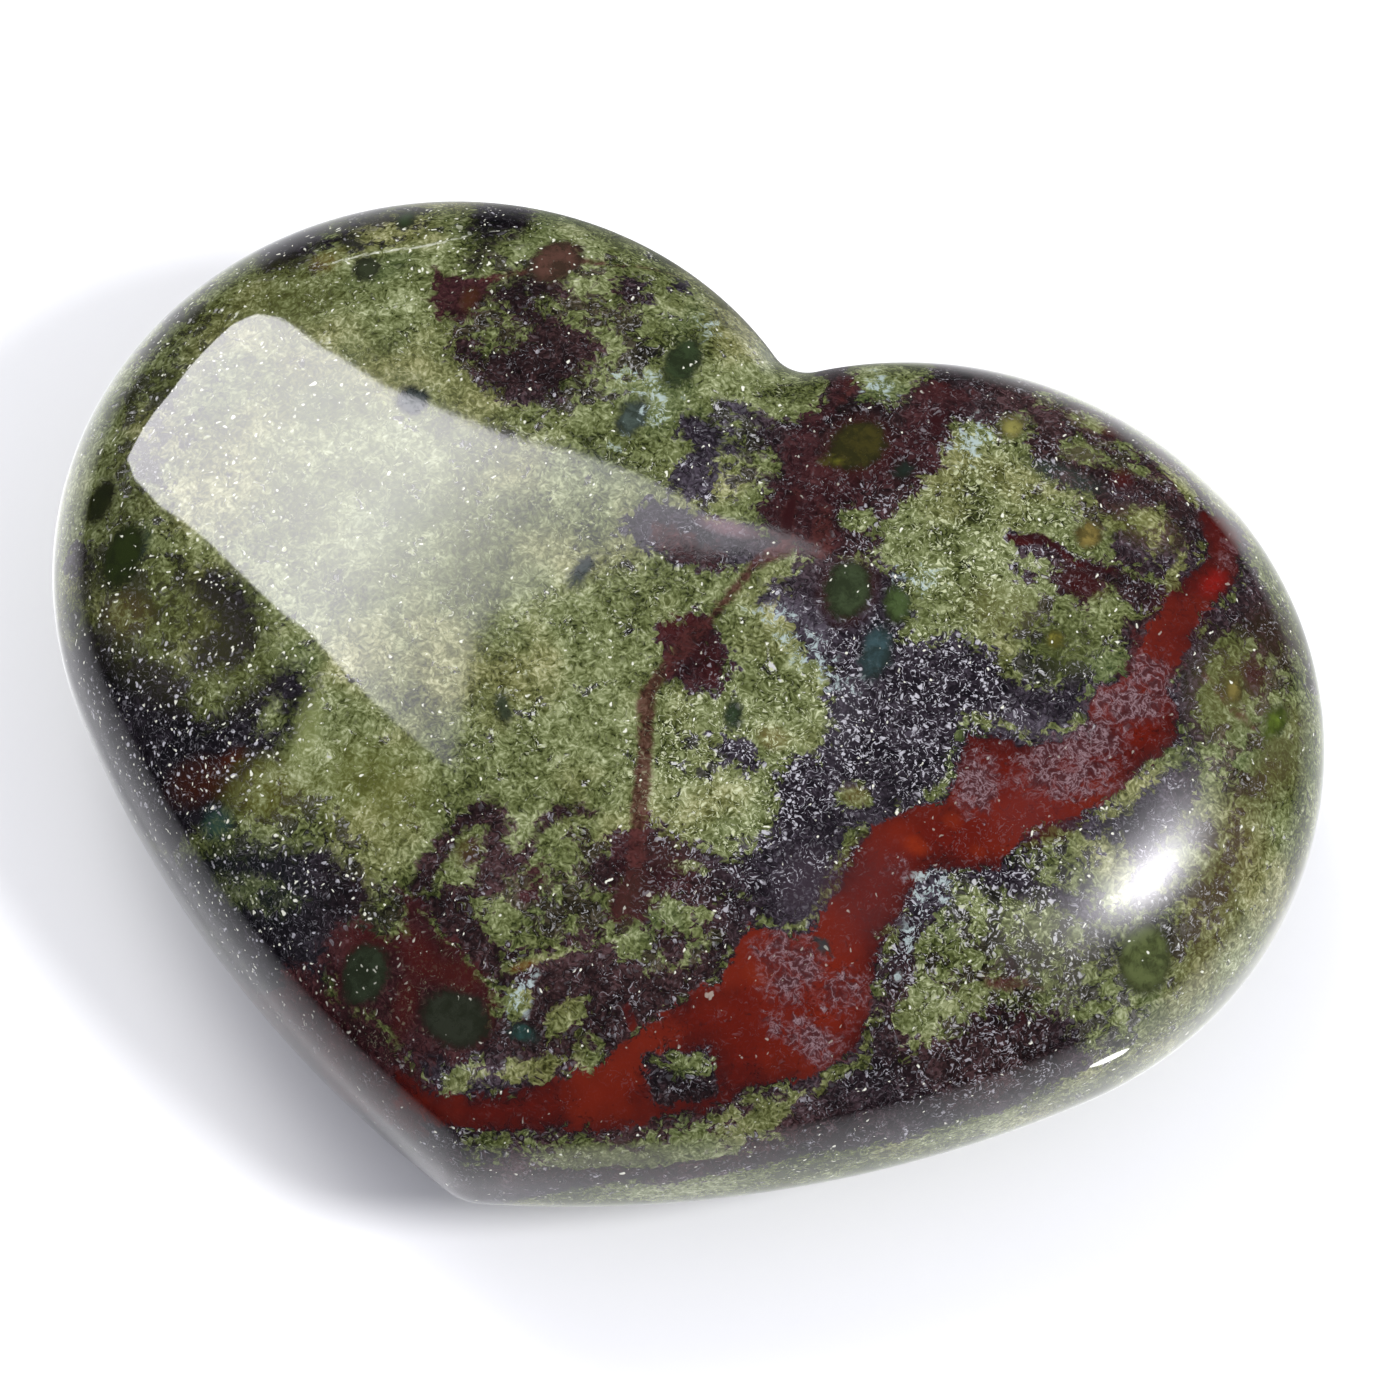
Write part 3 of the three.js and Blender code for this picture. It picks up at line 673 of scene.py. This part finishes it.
# The colours of each mineral's grains, from dark to pale: the tone and the colour at it.
TONES = {
    "epidote": (
        (0.4, "#20250f"), (0.46, "#444a27"), (0.52, "#626943"), (0.58, "#858b66"), (0.65, "#acb18f"),
    ),
    "yellow_epidote": (
        (0.4, "#28250f"), (0.46, "#4b4724"), (0.52, "#6a653c"), (0.58, "#8e875d"), (0.65, "#b0a987"),
    ),
    "matrix": ((0.38, "#0a090d"), (0.47, "#181419"), (0.53, "#29242a"), (0.6, "#413b43"), (0.7, "#5b555e")),
    "brown_matrix": (
        (0.38, "#0b0707"), (0.47, "#1b1112"), (0.53, "#2a1c1c"), (0.6, "#402d2e"), (0.7, "#5a4648"),
    ),
    "maroon": ((0.38, "#14090a"), (0.48, "#251214"), (0.6, "#3c2324"), (0.68, "#573a3b")),
    "thin_jasper": ((0.4, "#231110"), (0.5, "#3a1d1b"), (0.6, "#4b2927")),
}
# Jasper from its edge inwards, and a crystal cloud from its ridges to the red between them.
JASPER_INWARDS = ((0.0, "#270f11"), (0.4, "#3f110d"), (1.0, "#4f130c"))
CLOUD_FROM_RIDGES = ((0.0, "#7d686c"), (0.03, "#594144"), (0.07, "#3f2527"), (0.2, "#351819"))


def crystals(add, stirred, cell_mm, size_mm, stretch, turn):
    """Where one crystal in each cell shows, 0 to 1, and its luck. Its reach is luck^1.5 of the largest
    one's, and it shows where that is more than the distance from its middle."""
    at = add("Mapping", {"Vector": stirred, "Rotation": (*CRYSTAL_TILT, turn), "Scale": (1, 1 / stretch, 1)})
    cell = add("TexVoronoi", {"Vector": at, "Scale": pattern_scale(cell_mm)})
    luck = add("SeparateColor", [cell.outputs["Color"]])
    reach = add("Math", [luck, 1.5], operation="POWER")
    reach = add("Math", [reach, size_mm / cell_mm / 2], operation="MULTIPLY")
    inside = add("Math", [reach, cell.outputs["Distance"]], operation="SUBTRACT")
    return add("MapRange", [inside, 0.0, CRYSTAL_EDGE / cell_mm]), luck


def from_middle(add, mottling):
    """How far a mottling is from its middle value: 0 along lines that wind and curl."""
    return add("Math", [add("Math", [mottling, 0.5], operation="SUBTRACT")], operation="ABSOLUTE")


def grain_of_the_stone(add):
    """The patterns that all the minerals share, on stirred places, so that no crystal and no edge is
    drawn with a ruler. The tone adds up cloudy, grainy and fine. The rough edge lets edges wander by
    about half a millimetre and break up crystal by crystal."""
    place = add("TexCoord").outputs["Object"]
    whirls = {"Vector": place, "Scale": pattern_scale(STIR_SIZE), "Detail": 2, "Roughness": 0.5}
    whirls = add("TexNoise", whirls).outputs["Color"]
    shift = add("VectorMath", [whirls, (0.5, 0.5, 0.5)], operation="SUBTRACT")
    stirred = add("VectorMath", [shift, (STIR * MM,) * 3, place], operation="MULTIPLY_ADD")
    grain = {}
    for name, (size_mm, detail, roughness) in MOTTLINGS.items():
        mottling = {"Vector": stirred, "Scale": pattern_scale(size_mm)}
        grain[name] = add("TexNoise", {**mottling, "Detail": detail, "Roughness": roughness})
    for name, (low, high) in CURLS.items():
        line = add("MapRange", [from_middle(add, grain[name]), CURL_HALF_WIDTH, CURL_HALF_WIDTH * 0.35])
        broken = add("MapRange", [grain["fine"], low, high])
        grain[name] = add("Math", [line, broken], operation="MULTIPLY")
    for name, crystal in CRYSTALS.items():
        grain[name], grain[name + "_luck"] = crystals(add, stirred, *crystal)
    tints = {"Vector": place, "Scale": pattern_scale(BROAD_TINTS_SIZE), "Detail": 3, "Roughness": 0.5}
    grain["tints"] = add("SeparateColor", [add("TexNoise", tints).outputs["Color"]]).outputs
    cloudy, grainy, fine = grain["cloudy"], grain["grainy"], grain["fine"]
    grain["tone"] = weighted_sum(add, 0.0, (grainy, 0.3), (cloudy, 0.4), (fine, 0.3))
    grain["rough_edge"] = weighted_sum(add, -3.2, (grain["round_luck"], 0.6), (grainy, 2.6), (cloudy, 3.2))
    return grain


def mineral_shares(add, depth, grain):
    """How much of each mineral shows, 0 to 1: its depth, with its share of the rough edge added, turns
    to a share over its fade on both sides of 0. Green and dark also mingle blotch by blotch, the
    crystal clouds are patchy, stains show most on dark grains, and frost is a lace of curls."""
    share = {}
    for name, (wander, fade) in EDGES.items():
        edge = weighted_sum(add, depth[name], (grain["rough_edge"], wander))
        if name == "matrix":
            fade = weighted_sum(add, fade, (depth["dotted"], MISTY))
        start = add("Math", [fade, -1.0], operation="MULTIPLY")
        share[name] = add("MapRange", [edge, start, fade], interpolation_type="SMOOTHSTEP")
    mingled = weighted_sum(add, grain["blotchy"], (depth["mingle"], 0.13))
    mingled = add("MapRange", [mingled, 0.6, 0.66, 0.0, 0.85], interpolation_type="SMOOTHSTEP")
    share["matrix"] = greatest(add, share["matrix"], mingled, share["seam"])
    share["vein"] = greatest(add, share["vein"], share["thread"])
    patchy = add("MapRange", [grain["blotchy"], 0.36, 0.5, 0.35, 0.95])
    share["cloud"] = add("Math", [share["cloud"], patchy], operation="MULTIPLY")
    on_pale_grains = add("MapRange", [grain["tone"], 0.42, 0.6, 1.0, 0.5])
    share["stain"] = add("Math", [depth["stain"], on_pale_grains], operation="MULTIPLY")
    lace = add("MapRange", [grain["grainy"], 0.53, 0.6])
    lace = greatest(add, lace, grain["wide_curls"], grain["tight_curls"])
    share["frost"] = add("Math", [share["frost"], lace], operation="MULTIPLY")
    return share


def mineral_colours(add, depth, grain):
    """The colour of each mineral: its grains by their tone, with broad tints laid over them. Jasper is
    darker at its edge, and a pebble has its own colour, with dark specks and a dark outline."""
    red, green, blue = grain["tints"]
    colour = {name: add("ValToRGB", [grain["tone"]], stops) for name, stops in TONES.items()}
    yellowish = add("MapRange", [red, 0.48, 0.68], interpolation_type="SMOOTHSTEP")
    greenish = add("MapRange", [blue, 0.56, 0.68], interpolation_type="SMOOTHSTEP")
    tints = (colour["yellow_epidote"], yellowish, 0.5), ("#33472f", greenish, 0.25)
    colour["epidote"] = layered(add, colour["epidote"], *tints)
    tints = (colour["brown_matrix"], depth["warm"], 1.0), ("#08080a", depth["dotted"], 0.6)
    colour["matrix"] = layered(add, colour["matrix"], *tints)
    reddish = add("MapRange", [green, 0.48, 0.64], interpolation_type="SMOOTHSTEP")
    colour["maroon"] = layered(add, colour["maroon"], ("#3d1311", reddish, 0.45))
    inwards = weighted_sum(add, depth["vein"], (grain["rough_edge"], 0.5))
    jasper = add("ValToRGB", [add("MapRange", [inwards, -0.2, 1.3])], JASPER_INWARDS)
    bright = add("MapRange", [green, 0.5, 0.66], interpolation_type="SMOOTHSTEP")
    dark = add("MapRange", [grain["tone"], 0.45, 0.38])
    colour["jasper"] = layered(add, jasper, ("#651e10", bright, 0.7), ("#2a0c0b", dark, 0.6))
    colour["cloud"] = add("ValToRGB", [from_middle(add, grain["ridged"])], CLOUD_FROM_RIDGES)
    pebble = add("Attribute", attribute_name="pebble_colour")
    specks = add("MapRange", [grain["blotchy"], 0.56, 0.42])
    rim = add("MapRange", [depth["pebble"], 0.4, 0.0])
    colour["pebble"] = layered(add, pebble, ("#14170d", specks, 0.6), ("#15120c", rim, 0.6))
    return colour


def pale_crystals(add, depth, grain, share):
    """Where pale crystals show: crowded blotch by blotch, fewer in maroon, brown and thin veins, and
    hardly any in bare jasper. Where the crystals are dots, most needles and curled threads are gone."""
    crowd = weighted_sum(add, grain["blotchy"], (depth["sparkle"], 0.1))
    crowd = add("MapRange", [crowd, 0.44, 0.62, 0.1, 1.0], interpolation_type="SMOOTHSTEP")
    crowd = thinned(add, crowd, (share["maroon"], 0.6), (depth["warm"], 0.3), (share["thin_vein"], 0.7))
    drawn = greatest(add, grain["needles"], grain["wide_curls"], grain["tight_curls"])
    drawn = thinned(add, drawn, (depth["dotted"], 0.8))
    shown = add("Math", [greatest(add, grain["round"], drawn), crowd], operation="MULTIPLY")
    bare_jasper = thinned(add, share["vein"], (share["cloud"], 1.0))
    return thinned(add, shown, (bare_jasper, 0.9))


def painted_glints(add, depth, grain, share):
    """Painted glints: bright specks painted into the colour where small crystal faces sparkle in the
    lamps, many tiny, a few larger, and more where the crystals are dots. Jasper and maroon have fewer."""
    more = add("Math", [grain["more"], depth["dotted"]], operation="MULTIPLY")
    glints = greatest(add, grain["tiny"], grain["large"], more)
    return thinned(add, glints, (share["vein"], 0.7), (share["maroon"], 0.5))


def polished_bloodstone(field_names):
    """Bloodstone cut and polished to a mirror: olive epidote and near-black matrix full of pale crystals,
    with brick-red jasper veins. The polish gives the sharp lamp images, and the crystals, a little
    rougher, glitter round them. Its index of 1.55 is quartz's."""
    material, tree = new_material("polished_bloodstone")
    add = partial(add_node, tree)
    depth = {name: add("Attribute", attribute_name=name).outputs["Fac"] for name in field_names}
    grain = grain_of_the_stone(add)
    share = mineral_shares(add, depth, grain)
    colour = mineral_colours(add, depth, grain)
    crystal = pale_crystals(add, depth, grain, share)
    crystal_tints = ("#b4b2b8", share["matrix"], 1.0), ("#7c6569", share["cloud"], 1.0)
    surface = layered(
        add,
        colour["epidote"],
        (colour["matrix"], share["matrix"], 1.0),
        (colour["maroon"], share["maroon"], 1.0),
        (colour["thin_jasper"], share["thin_vein"], 0.9),
        (colour["jasper"], share["vein"], 1.0),
        (colour["cloud"], share["cloud"], 1.0),
        (add("Attribute", attribute_name="stain_colour"), share["stain"], 1.0),
        (layered(add, "#b9bd99", *crystal_tints), crystal, 0.8),
        (colour["pebble"], share["pebble"], 1.0),
        ("#9aa8a6", share["frost"], 0.85),
        ("#b4b6a4", share["scratch"], 0.8),
        # painted glints: bright specks painted into the colour for crystal faces that sparkle in the lamps
        ("#dcdccc", painted_glints(add, depth, grain, share), 0.85),
    )
    roughness = weighted_sum(add, 0.035, (crystal, 0.2))
    bump = add("Bump", {"Strength": 0.04, "Distance": 0.02 * MM, "Height": grain["grainy"]})
    finish = {"Base Color": surface, "Roughness": roughness, "IOR": 1.55, "Normal": bump}
    add("OutputMaterial", [add("BsdfPrincipled", finish)])
    return material


def heart_stone():
    """The polished stone: the surface of heart_points with its minerals as attributes of its points."""
    grid = heart_points()
    foot_middle = (0, DOME_MIDDLE_Y, grid[0, 0, 2])
    mesh, points = closed_mesh("polished_heart", grid, foot_middle, (0, DOME_MIDDLE_Y, HEIGHT))
    fields, pebble_colours, stain_colours = mineral_fields(points)
    for name, values in fields.items():
        attribute = mesh.attributes.new(name, "FLOAT", "POINT")
        attribute.data.foreach_set("value", np.clip(values, -FIELD_REACH, FIELD_REACH).astype(np.float32))
    for name, values in (("pebble_colour", pebble_colours), ("stain_colour", stain_colours)):
        attribute = mesh.attributes.new(name, "FLOAT_COLOR", "POINT")
        attribute.data.foreach_set("color", values.astype(np.float32).ravel())
    mesh.materials.append(polished_bloodstone(fields))
    piece = bpy.data.objects.new("polished_heart", mesh)
    bpy.context.scene.collection.objects.link(piece)
    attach(piece, "root")
    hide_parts("heart_stone")


def flat_face(name, corners, material):
    """An object that is one flat face with the given corners (x, y) at the height 0."""
    mesh = bpy.data.meshes.new(name)
    mesh.from_pydata([(x * MM, y * MM, 0) for x, y in corners], [], [tuple(range(len(corners)))])
    mesh.materials.append(material)
    item = bpy.data.objects.new(name, mesh)
    bpy.context.scene.collection.objects.link(item)
    return item


# The table is a square with this half side. Mirrored rays see its own light painted out between the
# two distances from the middle, as the share of the way that is left to the power given.
TABLE_HALF_SIDE = 3000
MIRRORED_NEAR, MIRRORED_FAR, MIRRORED_POWER = 40, 180, 1.6
# What the polish mirrors round the stone, painted into the table for mirrored rays: the angle in degrees
# from the picture's right side, the share of the table's own light, and the strength of a painted glow on
# the table that stands for a bright backdrop, which fades out at PAINTED_BACKDROP_FAR.
MIRRORED_ROUND = (
    (0, 1.0, 0.0), (20, 0.8, 0.0), (30, 0.8, 0.3), (38, 1.0, 1.3), (50, 0.9, 1.2), (60, 0.6, 0.6),
    (72, 0.2, 0.0), (94, 0.15, 0.0), (112, 0.6, 0.15), (126, 0.8, 0.3), (140, 1.0, 0.7), (154, 1.0, 1.1),
    (166, 1.0, 0.4), (180, 1.0, 0.0), (300, 1.0, 0.0), (332, 1.0, 0.6), (350, 1.0, 0.3), (360, 1.0, 0.0),
)
PAINTED_BACKDROP_FAR = 420


def round_the_stone(add, turn, column):
    """A column of MIRRORED_ROUND over the turn round the stone, 0 to 1. The ramp holds halves of its
    values, because they stop at 1 there."""
    stops = [(row[0] / 360, (*[row[column] / 2] * 3, 1)) for row in MIRRORED_ROUND]
    return add("Math", [add("ValToRGB", [turn], stops), 2.0], operation="MULTIPLY")


def white_board_with_painted_reflection():
    """Board with a matt white coat, which gives an even bright floor with soft shadows. To mirrored rays it
    is painted darker with distance and as MIRRORED_ROUND has it round the stone, with a painted glow for
    a backdrop added."""
    material, tree = new_material("white_board_with_painted_reflection")
    add = partial(add_node, tree)
    board = add("BsdfPrincipled", {"Base Color": "#f3f3f4", "Roughness": 0.9})
    place = add("TexCoord").outputs["Object"]
    reach = add("VectorMath", [place], operation="LENGTH").outputs["Value"]
    front, left = (
        add("VectorMath", [place, tuple(direction(azimuth, 0))], operation="DOT_PRODUCT").outputs["Value"]
        for azimuth in (VIEW_AZIMUTH, VIEW_AZIMUTH - 90)
    )
    angle = add("Math", [front, left], operation="ARCTAN2")
    turn = add("MapRange", [angle, -math.pi, math.pi])
    mirrored = add("LightPath").outputs["Is Glossy Ray"]

    # painted reflection: mirrored rays see the table's own light only near the stone, and black beyond
    lit = add("MapRange", [reach, MIRRORED_NEAR * MM, MIRRORED_FAR * MM, 1.0, 0.0])
    lit = add("Math", [lit, MIRRORED_POWER], operation="POWER")
    lit = add("Math", [lit, round_the_stone(add, turn, 1)], operation="MULTIPLY")
    painted_dark = add("Math", [1.0, lit], operation="SUBTRACT")
    painted_dark = add("Math", [painted_dark, mirrored], operation="MULTIPLY")
    table = add("MixShader", [painted_dark, board, add("Emission", {"Strength": 0.0})])

    # painted glow on the table, seen only by mirrored rays, that stands for a bright backdrop
    painted_glow = add("MapRange", [reach, 0.0, PAINTED_BACKDROP_FAR * MM, 1.0, 0.0], interpolation_type="SMOOTHSTEP")
    painted_glow = add("Math", [painted_glow, round_the_stone(add, turn, 2)], operation="MULTIPLY")
    painted_glow = add("Math", [painted_glow, mirrored], operation="MULTIPLY")
    both = add("AddShader", [table, add("Emission", {"Strength": painted_glow})])
    add("OutputMaterial", [both])
    return material


def white_table():
    """A wide table top at the height 0."""
    half = TABLE_HALF_SIDE
    corners = ((-half, -half), (half, -half), (half, half), (-half, half))
    flat_face("table", corners, white_board_with_painted_reflection())


# The soft box: its middle, the way its long side runs and the way it faces, its sides, and its radiance
# as the polish mirrors it and as light.
SOFT_BOX_MIDDLE = np.array([-705, 538, 1149])
SOFT_BOX_LONG_SIDE = np.array([0.391, 0.070, 0.918])
SOFT_BOX_FACING = np.array([0.771, -0.569, -0.285])
SOFT_BOX_LENGTH, SOFT_BOX_WIDTH = 1500, 540
SOFT_BOX_MIRRORED, SOFT_BOX_LIGHT = 10.0, 6.0
# The box's cloth as its mirror image shows it: corners across and along it, from its middle. Along it the
# cloth dims between two places, to the share that is left.
SOFT_BOX_OUTLINE = (
    (171, -903), (59, -851), (-38, -784), (-154, -772), (-258, -759), (-290, -692), (-280, -536),
    (-230, -229), (-207, 105), (-222, 478), (-253, 669), (-290, 816), (-240, 793), (-178, 748),
    (-116, 713), (-60, 713), (-8, 729), (91, 764), (228, 801), (262, 648), (302, 318), (286, -149),
    (288, -460), (240, -740),
)
SOFT_BOX_FADE = {"from": 380, "to": 800, "left": 0.25}
# The key lamp: the side where the polish mirrors it from, its distance, its width and radiance as light,
# and the side that its light comes from.
KEY_LAMP_AZIMUTH, KEY_LAMP_ELEVATION = 104, 51
KEY_LAMP_DISTANCE, KEY_LAMP_WIDTH, KEY_LAMP_RADIANCE = 1000, 250, 52
KEY_LIGHT_AZIMUTH, KEY_LIGHT_ELEVATION = 90, 49
# The key lamp's bowl as the polish mirrors it: brightest in its middle, and fading to its edge.
BOWL_WIDTH, BOWL_RADIANCE, BOWL_FADE, BOWL_STEPS = 1000, 37, 4, 48
# A small patch of light on the table, which the low side of the stone mirrors.
GLINT_MIDDLE, GLINT_WIDTH, GLINT_RADIANCE = (43, -15, 0.3), 4.5, 11
# The pale room's strength as light and as the polish mirrors it.
ROOM_LIGHT, ROOM_MIRRORED = 0.68, 0.04


def area_lamp(name, middle, rotation, size, radiance, colour, shape="RECTANGLE"):
    """An area lamp of a given radiance: its power is the radiance times its area times pi."""
    light = bpy.data.lights.new(name, "AREA")
    light.shape = shape
    light.size, light.size_y = (side * MM for side in size)
    area = light.size * light.size_y * (math.pi / 4 if shape == "DISK" else 1)
    light.energy = radiance * area * math.pi
    light.color = linear(colour)[:3]
    lamp = bpy.data.objects.new(name, light)
    lamp.location = [c * MM for c in middle]
    lamp.rotation_euler = rotation
    bpy.context.scene.collection.objects.link(lamp)
    return lamp


def mirrored_panel(name, corners, middle, rotation, radiance):
    """A flat glowing panel that only mirrored rays see. radiance adds the nodes for its strength, from
    the place on the panel."""
    material, tree = new_material(name)
    add = partial(add_node, tree)
    place = add("TexCoord").outputs["Object"]
    add("OutputMaterial", [add("Emission", {"Color": "#faf8ff", "Strength": radiance(add, place)})])
    panel = flat_face(name, corners, material)
    panel.location = [c * MM for c in middle]
    panel.rotation_euler = rotation
    panel.visible_camera = False
    panel.visible_diffuse = False
    panel.visible_shadow = False


def soft_box_radiance(add, place):
    """The lit cloth of a soft box, dimming softly towards the far end of its long side."""
    along = add("SeparateXYZ", [place]).outputs["Y"]
    start, end = SOFT_BOX_FADE["from"] * MM, SOFT_BOX_FADE["to"] * MM
    dimmed = SOFT_BOX_MIRRORED * SOFT_BOX_FADE["left"]
    return add("MapRange", [along, start, end, SOFT_BOX_MIRRORED, dimmed], interpolation_type="SMOOTHSTEP")


def bowl_radiance(add, place):
    """The lit bowl of a lamp: its middle's radiance times (1 - distance / half its width)^BOWL_FADE."""
    reach = add("VectorMath", [place], operation="LENGTH").outputs["Value"]
    share = add("MapRange", [reach, 0.0, BOWL_WIDTH / 2 * MM, 1.0, 0.0])
    fade = add("Math", [share, BOWL_FADE], operation="POWER")
    return add("Math", [fade, BOWL_RADIANCE], operation="MULTIPLY")


def soft_box():
    """A tall soft box behind the left lobe: the cloth that the polish mirrors, and the light of it."""
    turn = turned_to(-SOFT_BOX_FACING, SOFT_BOX_LONG_SIDE)
    mirrored_panel("lit_diffuser_cloth", SOFT_BOX_OUTLINE, SOFT_BOX_MIDDLE, turn, soft_box_radiance)
    size = (SOFT_BOX_WIDTH, SOFT_BOX_LENGTH)
    light = area_lamp("soft_box_light", SOFT_BOX_MIDDLE, turn, size, SOFT_BOX_LIGHT, "#fffffb")
    light.visible_glossy = False


def key_lamp():
    """A small strong lamp on the right: the bowl that the polish mirrors, a round outline of BOWL_STEPS
    corners, and the light of it."""
    back = direction(KEY_LAMP_AZIMUTH, KEY_LAMP_ELEVATION)
    a = np.linspace(0, 2 * math.pi, BOWL_STEPS, endpoint=False)
    rim = np.stack([np.cos(a), np.sin(a)], axis=1) * BOWL_WIDTH / 2
    mirrored_panel("lit_lamp_bowl", rim.tolist(), back * KEY_LAMP_DISTANCE, turned_to(back), bowl_radiance)
    back = direction(KEY_LIGHT_AZIMUTH, KEY_LIGHT_ELEVATION)
    middle, size = back * KEY_LAMP_DISTANCE, (KEY_LAMP_WIDTH, KEY_LAMP_WIDTH)
    light = area_lamp("key_lamp", middle, turned_to(back), size, KEY_LAMP_RADIANCE, "#fdfdff", "DISK")
    light.visible_glossy = False


def light_patch_on_table():
    """A small round patch of light on the table, facing up at the stone, that only its polish mirrors."""
    size, upwards = (GLINT_WIDTH, GLINT_WIDTH), (math.pi, 0, 0)
    patch = area_lamp("key_lamp_on_table", GLINT_MIDDLE, upwards, size, GLINT_RADIANCE, "#ffffff", "DISK")
    patch.visible_diffuse = False
    patch.visible_camera = False


def pale_room():
    """The room round the stone: pale as light, nearly dark as the polish mirrors it, and white behind."""
    world = bpy.data.worlds.new("pale_room")
    world.use_nodes = True
    world.node_tree.nodes.clear()
    add = partial(add_node, world.node_tree)
    rays = add("LightPath").outputs
    room = add("Background", {"Color": "#f0f1fd", "Strength": ROOM_LIGHT})
    mirrored_room = add("Background", {"Color": "#f4f4ff", "Strength": ROOM_MIRRORED})
    white = add("Background", {"Color": "#ffffff", "Strength": 1.0})
    room = add("MixShader", [rays["Is Glossy Ray"], room, mirrored_room])
    add("OutputWorld", [add("MixShader", [rays["Is Camera Ray"], room, white])])
    bpy.context.scene.world = world


def camera():
    """The camera at the viewing angle, its lens chosen so that VIEW_WIDTH fills the picture at the aim."""
    back = direction(VIEW_AZIMUTH, VIEW_ELEVATION)
    data = bpy.data.cameras.new("camera")
    data.sensor_width = SENSOR_WIDTH
    data.lens = SENSOR_WIDTH * VIEW_DISTANCE / VIEW_WIDTH
    data.clip_end = VIEW_REACH * MM
    item = bpy.data.objects.new("camera", data)
    item.location = [c * MM for c in np.array(VIEW_AIM) + back * VIEW_DISTANCE]
    item.rotation_euler = turned_to(back)
    bpy.context.scene.collection.objects.link(item)
    bpy.context.scene.camera = item


heart_stone()
white_table()
soft_box()
key_lamp()
light_patch_on_table()
pale_room()
camera()
bpy.context.scene.view_settings.view_transform = "Standard"
